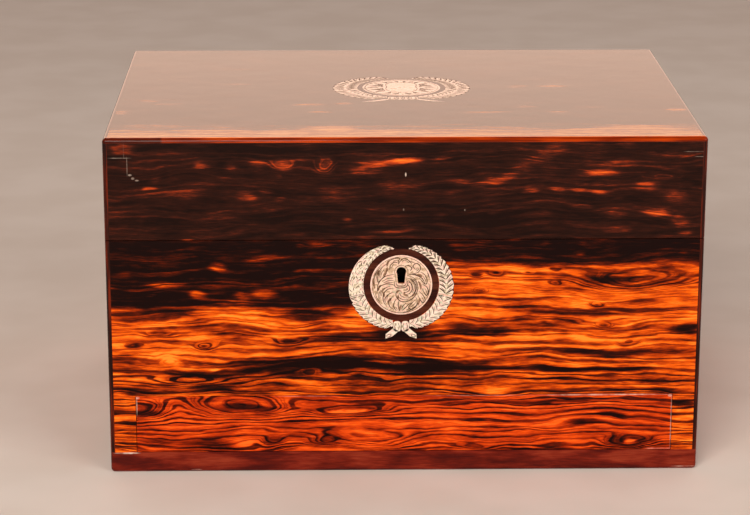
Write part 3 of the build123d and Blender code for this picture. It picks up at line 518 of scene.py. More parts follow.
side_figure = [
    (-50, 60, 44, 5.0, 0.6), (56, 48, 46, 4.5, 0.55), (70, 80, 24, 5.0, 0.1, 9),
    (-72, 32, 28, 6.0, 0.1, 12), (-70, 32, 12, 2.0, 0.4), (20, 24, 30, 4.0, 0.05, 8), (0, 84, 36, 3.6, 0.3),
    (96, 26, 14, 3.0, 0.4), (-10, 44, 9, 1.8, -0.4), (-92, 78, 8, 2.4, 0.25, 6), (0, 14, 100, 3.0, 0.2),
]
# Pale marks along the drawer's edges: partly worn polish, partly painted highlights where the edges catch the
# light
drawer_wear_and_highlights = [
    (40, 41.2, 30, 0.25, 0.2), (104, 41.25, 32, 0.3, 0.8), (-50, 41.3, 16, 0.2, 0.25),
    (138.4, 27, 0.2, 15, 0.5), (137.5, 40.6, 1.0, 0.7, 0.9), (-138, 40.8, 1.2, 0.6, 0.8),
    (-138.3, 36, 0.3, 5, 0.4), (132, 11.6, 6, 0.3, 0.6),
]
lid_chips = [
    (-144.4, 168, 5.8, 0.2, 0.3), (-141.7, 171.8, 0.18, 3.8, 0.2), (-140.2, 163.5, 0.22, 4.5, 0.35),
    (-138.8, 159.2, 0.9, 0.5, 0.45), (-137.4, 157.4, 0.8, 0.6, 0.5), (-135.4, 156.4, 0.9, 0.4, 0.5),
    (0, 159, 0.35, 1.0, 0.8), (-1, 140.7, 0.35, 0.6, 0.4), (30, 140.4, 0.3, 0.5, 0.4),
    (147, 170.4, 6, 0.18, 0.3), (149, 167.8, 3, 0.16, 0.25),
]
band_chips = [(-144, 10.6, 6, 0.45, 1.0), (-108, 1.2, 2.5, 0.4, 0.4), (146, 1.6, 6, 0.25, 0.5)]


# The front roundel's cuts, drawn over an enlarged view of the photograph: the shadows of the shell
# and its leaves, their outlines and their ribs. Their points are that view's pixels, to the right and down.
# The roundel's middle is at view_middle, and a millimetre is this many pixels across and upright.
view_middle = (495, 492)
view_per_mm = (27.5, 25.8)
roundel_shadows = [
    [(640, 650), (670, 630), (695, 600)], [(150, 350), (178, 305), (190, 290)],
    [(735, 440), (765, 500), (770, 560)], [(300, 250), (285, 300), (240, 370)],
    [(330, 150), (305, 185), (292, 240)], [(105, 400), (108, 470), (125, 540)],
    [(168, 575), (185, 520), (215, 495)], [(540, 590), (545, 625), (600, 650)],
    [(300, 735), (330, 700), (345, 670)], [(730, 770), (748, 715), (745, 690)],
    [(455, 690), (448, 655), (460, 640)], [(700, 360), (750, 355), (790, 385)],
    [(440, 605), (440, 580), (470, 575)], [(235, 590), (252, 620), (250, 660)],
    [(470, 850), (480, 800), (500, 770)],
]
roundel_outlines = [
    [(400, 345), (280, 370), (205, 425), (165, 500), (160, 580)],
    [(410, 500), (330, 480), (255, 485), (190, 520), (165, 580)],
    [(400, 545), (320, 545), (262, 590), (240, 660), (255, 740), (300, 790)],
    [(385, 590), (310, 625), (268, 680), (275, 745)],
    [(395, 640), (345, 685), (318, 745), (345, 800), (400, 830)],
    [(430, 680), (400, 730), (390, 790), (430, 850)], [(460, 715), (455, 780), (470, 850)],
    [(585, 372), (665, 395), (718, 465), (725, 545), (700, 625), (645, 685), (570, 722), (490, 716),
     (435, 670), (422, 610), (445, 575), (480, 572), (500, 600)],
    [(575, 400), (640, 420), (690, 480), (695, 560), (660, 630), (590, 670), (520, 665)],
    [(560, 450), (610, 455), (650, 500), (650, 560), (610, 610), (550, 625)],
    [(570, 490), (605, 510), (610, 560), (575, 590), (530, 590)], [(570, 530), (580, 555), (545, 570)],
    [(405, 440), (402, 500), (430, 528), (500, 532), (560, 520), (585, 480), (580, 430)],
    [(620, 330), (690, 335), (745, 305), (765, 255), (735, 208), (690, 200), (664, 232), (680, 270),
     (712, 272), (716, 245)],
    [(575, 365), (640, 350), (720, 365), (790, 410), (830, 480)],
    [(765, 315), (820, 350), (855, 420), (850, 480), (810, 470), (770, 420), (745, 400)],
    [(790, 480), (850, 520), (875, 580), (850, 640), (810, 590), (790, 540)],
    [(740, 580), (790, 620), (830, 690), (800, 740), (760, 690), (735, 640)],
    [(700, 660), (720, 720), (700, 790), (640, 830), (600, 800), (640, 750), (690, 700)],
    [(500, 850), (560, 800), (600, 760), (650, 735)], [(520, 870), (600, 850), (680, 800), (735, 745)],
    [(560, 745), (520, 780), (500, 830)],
    [(300, 190), (350, 150), (420, 125), (470, 130), (450, 170), (455, 210)],
    [(455, 210), (480, 165), (530, 130), (600, 160), (640, 205)],
    [(330, 290), (345, 220), (400, 180), (440, 190)], [(545, 235), (600, 230), (640, 260)],
    [(580, 190), (620, 175), (680, 185)],
    [(300, 200), (240, 240), (190, 300), (165, 380), (170, 450), (230, 400), (280, 340), (295, 270)],
    [(200, 250), (150, 310), (115, 400), (110, 500)], [(620, 300), (640, 270), (650, 230)],
]
roundel_ribs = [
    [(380, 400), (300, 405), (230, 445)], [(390, 430), (310, 435), (240, 465)],
    [(380, 460), (320, 460), (270, 470)], [(340, 510), (280, 530), (230, 580), (215, 650)],
    [(300, 520), (240, 550), (200, 610), (195, 680)], [(210, 560), (180, 620), (185, 700)],
    [(340, 600), (300, 650), (295, 700)], [(370, 650), (350, 700), (355, 750)],
    [(600, 400), (660, 450), (680, 530), (650, 600)], [(590, 430), (630, 470), (635, 540)],
    [(620, 395), (690, 440), (712, 530), (680, 620)], [(450, 620), (470, 670), (530, 695), (600, 690)],
    [(470, 600), (490, 640), (540, 660)], [(800, 370), (830, 420), (835, 460)], [(790, 400), (815, 440)],
    [(830, 540), (850, 590), (840, 620)], [(780, 650), (805, 700), (800, 725)],
    [(620, 800), (660, 775), (700, 730)], [(560, 840), (620, 815)], [(420, 800), (440, 830)],
    [(380, 170), (420, 155), (450, 155)], [(500, 180), (540, 155), (590, 175)],
    [(360, 260), (370, 225), (400, 205)], [(220, 280), (195, 330), (185, 400)],
    [(250, 280), (220, 330), (200, 400)], [(180, 290), (150, 350), (140, 430)],
    [(740, 250), (735, 285), (700, 305)], [(640, 345), (700, 350), (760, 385)],
    [(880, 470), (890, 540), (870, 640)], [(860, 330), (890, 400)], [(130, 600), (150, 670), (200, 740)],
    [(200, 780), (260, 830), (330, 860)], [(420, 470), (440, 505), (500, 512), (550, 500), (562, 465)],
]


# Meshes


def mesh_object(name, points, faces, material):
    """A mesh object from points in millimetres and faces, with outward normals."""
    mesh = bpy.data.meshes.new(name)
    mesh.from_pydata([[c * MM for c in point] for point in points], [], faces)
    mesh.validate()
    work = bmesh.new()
    work.from_mesh(mesh)
    bmesh.ops.recalc_face_normals(work, faces=work.faces)
    work.to_mesh(mesh)
    work.free()
    mesh.materials.append(material)
    piece = bpy.data.objects.new(name, mesh)
    bpy.context.scene.collection.objects.link(piece)
    return piece


def on_front(x, y, out):
    """A point of a drawing about the front roundel's middle, out in front of the veneer."""
    return (front_roundel["x"] + x, -half_depth - out, front_roundel["up"] + y)


def on_lid(x, y, out):
    """A point of a drawing about the lid roundel's middle, above the veneer."""
    return (lid_roundel["x"] + x, lid_roundel["up"] + y, case_height + out)


def pearl_plates(name, outlines, place, material):
    """Flat pieces of pearl with these outlines and with eased upper edges."""
    points, faces = [], []
    for outline in outlines:
        start, count = len(points), len(outline)
        inner = eased(outline, pearl_easing)
        for ring, out in (
            (outline, -pearl_depth), (outline, pearl_proud - pearl_easing), (inner, pearl_proud),
        ):
            points += [place(x, y, out) for x, y in ring]
        for level in (0, 1):
            for i in range(count):
                j = (i + 1) % count
                a, b = start + level * count, start + (level + 1) * count
                faces.append((a + i, a + j, b + j, b + i))
        faces.append(tuple(start + i for i in reversed(range(count))))
        faces.append(tuple(start + 2 * count + i for i in range(count)))
    piece = mesh_object(name, points, faces, material)
    work = bmesh.new()
    work.from_mesh(piece.data)
    bmesh.ops.triangulate(work, faces=[face for face in work.faces if len(face.verts) > 4])
    work.to_mesh(piece.data)
    work.free()
    return piece


def eased(outline, soften):
    """The outline drawn in by a little on every side."""
    count = len(outline)
    area = sum(
        outline[i][0] * outline[(i + 1) % count][1] - outline[(i + 1) % count][0] * outline[i][1]
        for i in range(count)
    )
    turn = 1 if area > 0 else -1
    inner = []
    for i in range(count):
        before, here, after = Vector(outline[i - 1]), Vector(outline[i]), Vector(outline[(i + 1) % count])
        along = (after - here).normalized() + (here - before).normalized()
        if along.length < 1e-6:
            along = after - here
        along.normalize()
        inner.append(here + turn * soften * Vector((-along.y, along.x)))
    return [tuple(point) for point in inner]


def smooth_line(points, steps=6):
    """A smooth line through the points."""
    line = []
    ends = [points[0]] + list(points) + [points[-1]]
    for i in range(1, len(ends) - 2):
        a, b, c, d = (Vector(p) for p in ends[i - 1:i + 3])
        for step in range(steps):
            t = step / steps
            line.append(0.5 * (
                2 * b + (c - a) * t + (2 * a - 5 * b + 4 * c - d) * t ** 2 + (3 * b - a - 3 * c + d) * t ** 3
            ))
    line.append(Vector(points[-1]))
    return line


def strokes(name, lines, place, material, body, proud=cut_proud):
    """Graver's cuts filled with wax: each line is its points and its width, and thins out at both ends."""
    end_share, fullness = 0.25, 0.6
    points, faces = [], []
    for line, width in lines:
        line = [Vector(point) for point in line]
        start, count = len(points), len(line)
        for i, here in enumerate(line):
            along = (line[min(i + 1, count - 1)] - line[max(i - 1, 0)]).normalized()
            share = i / (count - 1)
            half = width / 2 * (end_share + (1 - end_share) * math.sin(math.pi * share) ** fullness)
            aside = Vector((-along.y, along.x)) * half
            for side, out in ((aside, proud), (-aside, proud), (-aside, -cut_depth), (aside, -cut_depth)):
                points.append(place(here.x + side.x, here.y + side.y, out))
        for i in range(count - 1):
            for corner in range(4):
                a, b = start + 4 * i + corner, start + 4 * i + (corner + 1) % 4
                faces.append((a, b, b + 4, a + 4))
        last = start + 4 * (count - 1)
        faces.append((start, start + 1, start + 2, start + 3))
        faces.append((last + 3, last + 2, last + 1, last))
    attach(mesh_object(name, points, faces, material), body)


# Pearl inlay


def spray_edges(ring, sizes, angle):
    """How far a spray reaches from the ring's middle at an angle: its inner and its outer edge."""
    toward = Vector((math.cos(angle), math.sin(angle)))
    circle = ring + sizes["width"] - sizes["shift"]
    middle = Vector((sizes["shift"], -sizes["drop"]))
    along = toward.dot(middle)
    outer = along + math.sqrt(along ** 2 - middle.length_squared + circle ** 2)
    last, last_half = sizes["knots"][-1]
    stem = max(sizes["foot"], last + last_half + pearl_gap)
    lines = [
        (Vector((sizes["tip"], ring)), Vector((sizes["crown"], circle - sizes["drop"]))),
        (Vector((stem, -(ring + sizes["foot_drop"]))), Vector((sizes["heel"], -(circle + sizes["drop"])))),
    ]
    for start, end in lines:
        run = end - start
        cross = toward.x * run.y - toward.y * run.x
        if abs(cross) > 1e-9:
            reach = (start.x * run.y - start.y * run.x) / cross
            if reach > 0:
                outer = min(outer, reach)
    inner = ring + pearl_gap
    if angle < 0:
        inner = max(inner, stem / toward.x)
    return inner, max(outer, inner)


def spray_ends(ring, sizes):
    """The angles at a spray's tip, at its joint and at its foot."""
    last, last_half = sizes["knots"][-1]
    stem = max(sizes["foot"], last + last_half + pearl_gap)
    tip = math.atan2(ring, sizes["tip"])
    joint = -math.atan(spray_joint_slope)
    foot = math.atan2(-(ring + sizes["foot_drop"]), stem)
    return tip, joint, foot


def spray_point(ring, sizes, angle, share, side):
    """A point of a spray, at a share of the way from its inner to its outer edge; side is 1 or -1."""
    inner, outer = spray_edges(ring, sizes, angle)
    reach = inner + (outer - inner) * share
    return (side * reach * math.cos(angle), reach * math.sin(angle))


def spray_outline(ring, sizes, start, end, side, leaf, notch):
    """A spray piece's outline between two angles, with its outer edge notched between the leaves' tips.

    The notches are shallower where the spray is narrow.
    """
    steps, blend, narrowest = 96, 3, 0.05
    angles = [start + (end - start) * i / steps for i in range(steps + 1)]
    edges = [spray_edges(ring, sizes, angle) for angle in angles]
    outer, inner = [], []
    for i, angle in enumerate(angles):
        low = edges[i][0]
        # The horn's corner is rounded by taking the mean of the edge near it
        near = [high for _, high in edges[max(i - blend, 0):i + blend + 1]]
        high = min(sum(near) / len(near), edges[i][1])
        travelled = abs(angle) * (ring + sizes["width"] / 2) / leaf
        cut = notch * (travelled % 1.0) ** 2 * min(1.0, (high - low) / sizes["width"] * 1.5)
        reach = max(low + narrowest, high - cut)
        outer.append((side * reach * math.cos(angle), reach * math.sin(angle)))
        inner.append((side * low * math.cos(angle), low * math.sin(angle)))
    return outer + inner[::-1]


def knot_outline(x, half, height, y):
    """A bow knot's outline: a barrel with rounded corners."""
    radius, steps = 0.8 * half, 6
    outline = []
    for corner_x, corner_y, start in ((1, 1, 0), (-1, 1, 90), (-1, -1, 180), (1, -1, 270)):
        for step in range(steps + 1):
            angle = math.radians(start + 90 * step / steps)
            outline.append((
                x + corner_x * (half - radius) + radius * math.cos(angle),
                y + corner_y * (height / 2 - radius) + radius * math.sin(angle),
            ))
    return outline


def herringbone(ring, sizes, start, end, side, leaf, width):
    """Pairs of leaves that spring from a spray's middle line towards its tip, each with a midrib.

    The cuts are finer where the spray is narrow.
    """
    edge_lean, edge_root, edge_run = 1.15, 0.02, 0.46
    rib_start, rib_lean, rib_root, rib_run = 0.5, 0.9, 0.08, 0.28
    lines = []
    step = leaf / (ring + sizes["width"] / 2)
    lowest, highest = min(start, end), max(start, end)
    count = max(1, int((highest - lowest) / step))
    for i in range(count + 1):
        angle = start + (end - start) * i / count
        inner, outer = spray_edges(ring, sizes, angle)
        fine = width * min(1.0, (outer - inner) / (0.7 * sizes["width"]))
        for outwards in (1, -1):
            edge = []
            for share in (0.0, 0.35, 0.7, 1.0):
                lean = min(max(angle + edge_lean * step * share ** 0.8, lowest), highest)
                across = 0.5 + outwards * (edge_root + edge_run * share)
                edge.append(spray_point(ring, sizes, lean, across, side))
            lines.append((smooth_line(edge, 3), fine))
            rib = []
            for share in (0.0, 0.5, 1.0):
                lean = min(angle + step * (rib_start + rib_lean * share), highest)
                across = 0.5 + outwards * (rib_root + rib_run * share)
                rib.append(spray_point(ring, sizes, lean, across, side))
            lines.append((rib, 0.5 * fine))
    return lines


def speckle(ring, sizes, start, end, side, spacing, width, seed):
    """Short bent cuts like small leaf tips, scattered over a spray as unevenly as the hand left them."""
    rows, half_cut, bend, edge = 5, 0.45, 0.2, 0.04
    chance = random.Random(seed)
    lines = []
    step = spacing / (ring + sizes["width"] / 2)
    for i in range(int(abs(end - start) / step)):
        for row in range(rows):
            angle = start - (i + chance.random()) * step
            share = (row + 0.2 + 0.6 * chance.random()) / rows
            lean = 0.5 * chance.random() - 0.25
            cut = []
            for ahead in (-half_cut, 0.0, half_cut):
                at = min(max(share + lean * ahead - bend * ahead ** 2, edge), 1 - edge)
                cut.append(spray_point(ring, sizes, max(angle + ahead * step, end), at, side))
            lines.append((cut, width * (0.4 + 1.0 * chance.random())))
    return lines


def wreath(prefix, node, ring, sizes, place, body, leaf, notch, width, upper_kinds, finish, wax_colour,
           ribbon_eyes):
    """A laurel wreath in pearl: four sprays, the bow's knots and two ribbon ends, and its engraving."""
    # In radians: how far the pearl and the engraving stay back from a spray's tip, and from its other ends
    tip_back, speckle_back, leaf_back, end_back = 0.004, 0.06, 0.05, 0.03
    tip, joint, foot = spray_ends(ring, sizes)
    gap = pearl_gap / ring
    last = sizes["knots"][-1][0]
    knot_y = -(ring + pearl_gap + sizes["knot_height"] / 2)
    outlines, lines = [], []
    for side, kind in zip((-1, 1), upper_kinds):
        even = 0.0 if kind == "speckled" else notch
        outlines.append(spray_outline(ring, sizes, tip - tip_back, joint, side, leaf, even))
        outlines.append(spray_outline(ring, sizes, joint - gap, foot, side, leaf, notch))
        if kind == "speckled":
            lines += speckle(ring, sizes, tip - speckle_back, joint, side, 0.7 * leaf, width, prefix)
        else:
            upper = (tip - leaf_back, joint + end_back)
            lines += herringbone(ring, sizes, *upper, side, 0.85 * leaf, 1.6 * width)
        lower = (joint - gap - end_back, foot + end_back)
        lines += herringbone(ring, sizes, *lower, side, 0.9 * leaf, width)
        ribbon = [(side * (last + x), knot_y + y) for x, y in sizes["ribbon"]]
        outlines.append(ribbon)
        if ribbon_eyes:
            lines += ribbon_oval(ribbon, width)
    for x, half in sizes["knots"]:
        for side in (-1, 1):
            outlines.append(knot_outline(side * x, half, sizes["knot_height"], knot_y))
            lines += knot_folds(side * x, half, sizes["knot_height"], knot_y, width)
    piece = pearl_plates(prefix + "_pearl_wreath", outlines, place, finish)
    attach(piece, body)
    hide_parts(node)
    bed = seat_filling(prefix + "_wreath_seat", node, place)
    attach(bed, body)
    strokes(prefix + "_wreath_engraving", lines, place, wax_colour, body, wreath_cut_proud)


def ribbon_oval(ribbon, width):
    """A small pointed oval cut near a ribbon's tip."""
    root, tip = Vector(ribbon[0]).lerp(Vector(ribbon[4]), 0.5), Vector(ribbon[2])
    lower, upper = Vector(ribbon[1]), Vector(ribbon[3])
    near, far = root.lerp(tip, 0.5), root.lerp(tip, 0.86)
    return [
        (smooth_line([near, near.lerp(far, 0.5).lerp(edge, 0.5), far], 4), 0.8 * width)
        for edge in (lower, upper)
    ]


def knot_folds(x, half, height, y, width):
    """The folds of a bow's knot: two bent cuts from its top to its foot."""
    reach = 0.34 * height
    folds = []
    for bend in (-0.45 * half, 0.45 * half):
        ends, middle = x + bend * 0.7, x + bend * 1.3
        folds.append((smooth_line([(ends, y + reach), (middle, y), (ends, y - reach)], 4), 0.8 * width))
    return folds


def seat_filling(name, node, place):
    """The dark wax that fills a seat round the pearl: the seat's own form, a little below the surface."""
    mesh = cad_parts[node].data.copy()
    low = Vector(place(0, 0, -seat_wax_drop)) - Vector(place(0, 0, 0))
    for vertex in mesh.vertices:
        vertex.co += low * MM
    mesh.materials.clear()
    mesh.materials.append(seat_wax)
    bed = bpy.data.objects.new(name, mesh)
    bpy.context.scene.collection.objects.link(bed)
    return bed


def arc(radius, start, end, width, steps):
    """A stroke along part of a circle, from one angle in degrees to another."""
    angles = [math.radians(start + (end - start) * i / steps) for i in range(steps + 1)]
    return ([(radius * math.cos(a), radius * math.sin(a)) for a in angles], width)


def spiral(cx, cy, first, last, start, turns, width):
    """A stroke that winds outwards from one radius to another."""
    steps = int(16 * abs(turns)) + 2
    points = []
    for i in range(steps + 1):
        share = i / steps
        radius = first + (last - first) * share
        angle = math.radians(start + 360 * turns * share)
        points.append((cx + radius * math.cos(angle), cy + radius * math.sin(angle)))
    return (points, width)


def leaf_lobe(root, tip, bulge, width):
    """A leaf's lobe: two sides that meet at the tip, and a rib from its root."""
    root, tip = Vector(root), Vector(tip)
    run = tip - root
    aside = Vector((-run.y, run.x)) * bulge
    return [
        (smooth_line([root, root + run * 0.45 + aside * share, tip], 6), width * weight)
        for share, weight in ((1.0, 1.0), (0.15, 0.8), (0.55, 0.6))
    ]


def drawn(cut):
    """One of the front roundel's cuts, turned from the view's pixels to tenths of a millimetre."""
    (middle_x, middle_y), (across, upright) = view_middle, view_per_mm
    return [(round((x - middle_x) / across, 1), round((middle_y - y) / upright, 1)) for x, y in cut]


def front_scrolls():
    """The front roundel's engraving: a rim, a border round the keyhole, and a shell among acanthus leaves."""
    rim_radius, rim_width, border, border_width = 14.95, 0.3, 0.9, 0.25
    lines = [arc(rim_radius, 0, ring_end, rim_width, 72)]
    eye = keyhole_radius + border
    foot_x, foot_y = keyhole_foot + border, keyhole_rise - keyhole_depth - border
    around = [
        (eye * math.cos(math.radians(a)), keyhole_rise + eye * math.sin(math.radians(a)))
        for a in range(-28, 209, 12)
    ]
    around += [
        (-foot_x, foot_y + border), (-foot_x + border, foot_y), (foot_x - border, foot_y),
        (foot_x, foot_y + border), around[0],
    ]
    lines.append((around, border_width))
    for cuts, width in ((roundel_outlines, 0.46), (roundel_ribs, 0.32)):
        lines += [(smooth_line(drawn(cut), 5), width) for cut in cuts]
    return lines


def lid_scrolls():
    """The lid roundel's engraving: a plain cartouche with scrolls and leaves on either side of it."""
    width, rim_width, dash_width, scroll_eye = 0.3, 0.35, 0.4, 0.4
    rim_radius, dash_outer, dash_inner = 20.0, 18.9, 17.6
    lines = [arc(rim_radius, 0, ring_end, rim_width, 72)]
    for degrees in range(30, 360, 12):
        x, y = math.cos(math.radians(degrees)), math.sin(math.radians(degrees))
        lines.append(([(dash_outer * x, dash_outer * y), (dash_inner * x, dash_inner * y)], dash_width))
    cartouche = [
        (0, 12.6), (3.4, 13.2), (6.6, 11.8), (8.4, 8.0), (8.0, 2.0), (8.6, -4.0), (6.4, -9.6), (3.0, -11.8),
        (0, -12.6),
    ]
    # Each scroll: its middle, its reach, where it starts in degrees, and its turns
    scrolls = [(11.6, 7.4, 2.6, 250, 1.3), (11.8, -6.6, 2.6, 110, -1.3), (6.0, 14.6, 1.6, 180, 1.2)]
    # Each leaf: its root, its tip and its bulge
    leaves = [
        ((9.8, 1.6), (16.8, 5.0), 0.36), ((9.8, -1.2), (17.0, -4.6), -0.36),
        ((10.4, 5.0), (15.0, 10.2), 0.36), ((10.0, -4.4), (14.6, -11.0), -0.36),
        ((7.6, 11.4), (10.4, 14.4), 0.36), ((6.2, -11.6), (9.6, -15.0), -0.36),
        ((1.8, -13.6), (5.4, -16.6), -0.36), ((1.6, 14.2), (3.4, 17.2), 0.36),
        ((12.6, 0.2), (18.2, 0.4), 0.3),
    ]
    for side in (-1, 1):
        lines.append((smooth_line([(side * x, y) for x, y in cartouche], 5), width))
        for x, y, reach, start, turns in scrolls:
            start = start if side > 0 else 180 - start
            lines.append(spiral(side * x, y, scroll_eye, reach, start, side * turns, 0.8 * width))
        for root, tip, bulge in leaves:
            lines += leaf_lobe((side * root[0], root[1]), (side * tip[0], tip[1]), side * bulge, width)
    return lines


def on_top(node):
    """Gives the place of a drawing on a node's flat top, about its middle."""
    low, high = (Vector(corner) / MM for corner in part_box(node))
    middle = (low + high) / 2
    return lambda x, y, out: (middle.x + x, middle.y + y, high.z + out)


def round_border():
    """The engraving on a powder jar's lid: a wreath of small leaves between rings."""
    width, bulge = 0.3, 0.3
    leaf_root, leaf_tip, leaf_lean = 16.4, 20.0, 10
    lines = [arc(radius, 0, ring_end, width, 60) for radius in (21.4, 20.6, 15.8)]
    for degrees in range(0, 360, 12):
        root, tip = math.radians(degrees), math.radians(degrees + leaf_lean)
        lines += leaf_lobe(
            (leaf_root * math.cos(root), leaf_root * math.sin(root)),
            (leaf_tip * math.cos(tip), leaf_tip * math.sin(tip)), bulge, width,
        )
    return lines


def square_border():
    """The engraving on a glass box's lid: a border of small leaves between straight lines."""
    width, bulge = 0.3, 0.3
    half_x, half_y, steps = 21.6, 25.6, 12
    leaf_root, leaf_tip, leaf_lean, leaf_step = 4.8, 1.4, 3, 4
    lines = []
    for inset in (0.0, 0.8, 5.4):
        x, y = half_x - inset, half_y - inset
        corners = [(-x, -y), (x, -y), (x, y), (-x, y), (-x, -y)]
        for start, end in zip(corners, corners[1:]):
            start, end = Vector(start), Vector(end)
            lines.append(([start.lerp(end, share / steps) for share in range(steps + 1)], width))
    for side in (-1, 1):
        for x in range(-18, 19, leaf_step):
            root, tip = (x, side * (half_y - leaf_root)), (x + leaf_lean, side * (half_y - leaf_tip))
            lines += leaf_lobe(root, tip, side * bulge, width)
        for y in range(-18, 16, leaf_step):
            root, tip = (side * (half_x - leaf_root), y), (side * (half_x - leaf_tip), y + leaf_lean)
            lines += leaf_lobe(root, tip, side * -bulge, width)
    return lines


# Soft pieces


def velvet_pad(name, node, body, edge=1.4):
    """A thin glued-down pad of velvet over wadding, crowned at its edges and slightly uneven on top."""
    rim_height, sag, wave_height, wave_length = 0.2, 0.35, 0.12, 22
    columns, rows = 40, 30
    low, high = (Vector(corner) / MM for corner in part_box(node))
    size = high - low
    points, faces = [], []
    for top in (True, False):
        for row in range(rows + 1):
            for column in range(columns + 1):
                # Points crowd towards the edges, where the pad is rounded
                u = 0.5 - 0.5 * math.cos(math.pi * column / columns)
                v = 0.5 - 0.5 * math.cos(math.pi * row / rows)
                x, y = low.x + size.x * u, low.y + size.y * v
                inset = min(x - low.x, high.x - x, y - low.y, high.y - y) / edge
                rounded = math.sqrt(1 - (1 - min(inset, 1.0)) ** 2)
                swell = wave_height * noise.noise(Vector((x / wave_length, y / wave_length, 0)))
                z = low.z + rim_height + (size.z - sag + swell) * rounded if top else low.z
                points.append((x, y, z))
    across = columns + 1
    sheet = across * (rows + 1)
    for row in range(rows):
        for column in range(columns):
            a = row * across + column
            faces.append((a, a + 1, a + across + 1, a + across))
            faces.append((sheet + a, sheet + a + across, sheet + a + across + 1, sheet + a + 1))
    rim = list(range(columns)) + [columns + across * r for r in range(rows)]
    rim += [rows * across + c for c in range(columns, 0, -1)] + [across * r for r in range(rows, 0, -1)]
    for i, a in enumerate(rim):
        b = rim[(i + 1) % len(rim)]
        faces.append((a, b, b + sheet, a + sheet))
    pad = mesh_object(name, points, faces, crimson)
    for polygon in pad.data.polygons:
        polygon.use_smooth = True
    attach(pad, body)
    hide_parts(node)


def covered_boards(name, node, body, radius=0.7):
    """Thin boards with velvet glued round them, so their edges are soft."""
    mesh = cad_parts[node].data.copy()
    work = bmesh.new()
    work.from_mesh(mesh)
    bmesh.ops.remove_doubles(work, verts=work.verts, dist=0.001 * MM)
    bmesh.ops.dissolve_limit(work, angle_limit=math.radians(1), verts=work.verts, edges=work.edges)
    bmesh.ops.bevel(
        work, geom=work.edges, offset=radius * MM, segments=3, profile=0.5, affect="EDGES",
        clamp_overlap=True,
    )
    for face in work.faces:
        face.smooth = True
    work.to_mesh(mesh)
    work.free()
    mesh.materials.clear()
    mesh.materials.append(crimson)
    boards = bpy.data.objects.new(name, mesh)
    bpy.context.scene.collection.objects.link(boards)
    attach(boards, body)
    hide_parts(node)


def dress(material, *names):
    """Gives CAD nodes their finish."""
    for name in names:
        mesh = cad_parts[name].data
        mesh.materials.clear()
        mesh.materials.append(material)


# Camera, floor and lights


def add_camera():
    """The photograph's viewpoint in metres, found from the box's own edges."""
    camera = bpy.data.objects.new("camera", bpy.data.cameras.new("camera"))
    bpy.context.scene.collection.objects.link(camera)
    camera.data.sensor_width = 36
    camera.data.lens = 119.94
    yaw, pitch, roll = math.radians(1.2405), math.radians(15.8736), math.radians(0.0904)
    forward = Vector((math.sin(yaw) * math.cos(pitch), math.cos(yaw) * math.cos(pitch), -math.sin(pitch)))
    level = Vector((math.cos(yaw), -math.sin(yaw), 0))
    up = level.cross(forward)
    right = math.cos(roll) * level + math.sin(roll) * up
    up = math.cos(roll) * up - math.sin(roll) * level
    turned = Matrix((right, up, -forward)).transposed().to_4x4()
    camera.matrix_world = Matrix.Translation((-0.04190, -1.33674, 0.46324)) @ turned
    bpy.context.scene.camera = camera


def add_light(name, place, target, size, power, colour):
    """A soft square light that shines at a point; its places and its size are in metres."""
    lamp = bpy.data.lights.new(name, "AREA")
    lamp.shape = "SQUARE"
    lamp.size = size
    lamp.energy = power
    lamp.color = rgb(colour)[:3]
    light = bpy.data.objects.new(name, lamp)
    light.location = place
    light.rotation_euler = (Vector(target) - Vector(place)).to_track_quat("-Z", "Y").to_euler()
    bpy.context.scene.collection.objects.link(light)


def add_studio():
    """A pale floor, soft lights, and warm bright light behind the box, which the lid reflects."""
    reach = 6000
    aim = (0, 0, 0.1)
    corners = [(-reach, -reach, 0), (reach, -reach, 0), (reach, reach, 0), (-reach, reach, 0)]
    floor = mesh_object("floor", corners, [(0, 1, 2, 3)], studio_floor("painted_floor"))
    world = bpy.data.worlds.new("studio")
    bpy.context.scene.world = world
    world.use_nodes = True
    tree = world.node_tree
    background = tree.nodes["Background"]
    toward = add(tree, "SeparateXYZ", add(tree, "TexCoord").outputs["Generated"])
    behind = add(tree, "MapRange", toward.outputs[1], 0.2, 0.75, interpolation_type="SMOOTHSTEP")
    low = add(tree, "MapRange", toward.outputs[2], 0.75, 0.35, interpolation_type="SMOOTHSTEP")
    wall = add(tree, "Math", behind, low, operation="MULTIPLY")
    tints = {COLOUR_A: rgb("#8a8684"), COLOUR_B: rgb("#ffd6be")}
    colour = add(tree, "Mix", wall, named=tints, data_type="RGBA")
    strength = add(tree, "MapRange", wall, 0.0, 1.0, 0.55, 2.1)
    feed(tree, background, {"Color": colour.outputs[MIXED_COLOUR], "Strength": strength})
    add_light("key", (-0.6, -1.9, 1.2), aim, 1.2, 42, "#fff4e8")
    add_light("fill", (1.2, -1.4, 0.9), aim, 1.2, 16, "#fff8f0")
    bpy.context.scene.view_settings.view_transform = "Standard"


add_camera()
add_studio()

shell = pearl("mother_of_pearl", "#b0a288", "#dccab0", "#f0e2d0", "#e8beb0", "#c4c8ae")
handled_shell = pearl("mother_of_pearl_handled", "#a08468", "#ccaa8c", "#e8ccb4", "#e0b09c", "#bcb296")
rim_shell = pearl("mother_of_pearl_rim", "#dcae9c", "#eec4b2", "#f4d2c2", "#eec0b2", "#dcc0ac")
cut_wax = wax("graver_wax", "#5c4030", "#2c1a12")
shadow_wax = wax("graver_wax_worn", "#9a765c", "#6a4a38")
lid_wax = wax("graver_wax_rubbed", "#7c5c4a", "#4a342a")
seat_wax = wax("seat_wax", "#2c1812")
tarnished_cuts = wax("tarnished_cuts", "#6a645a", "#3c3830")
crimson = velvet("crimson_velvet")
band_rosewood = rosewood("rosewood_band", ("#440e0a", "#5e160c", "#742012", "#8e341e"), pale_marks=band_chips)
ring_rosewood = rosewood("rosewood_ring", ("#240c08", "#38140c", "#482014", "#5a2c1c"))
long_mahogany = mahogany("mahogany_lengthwise", half_width)
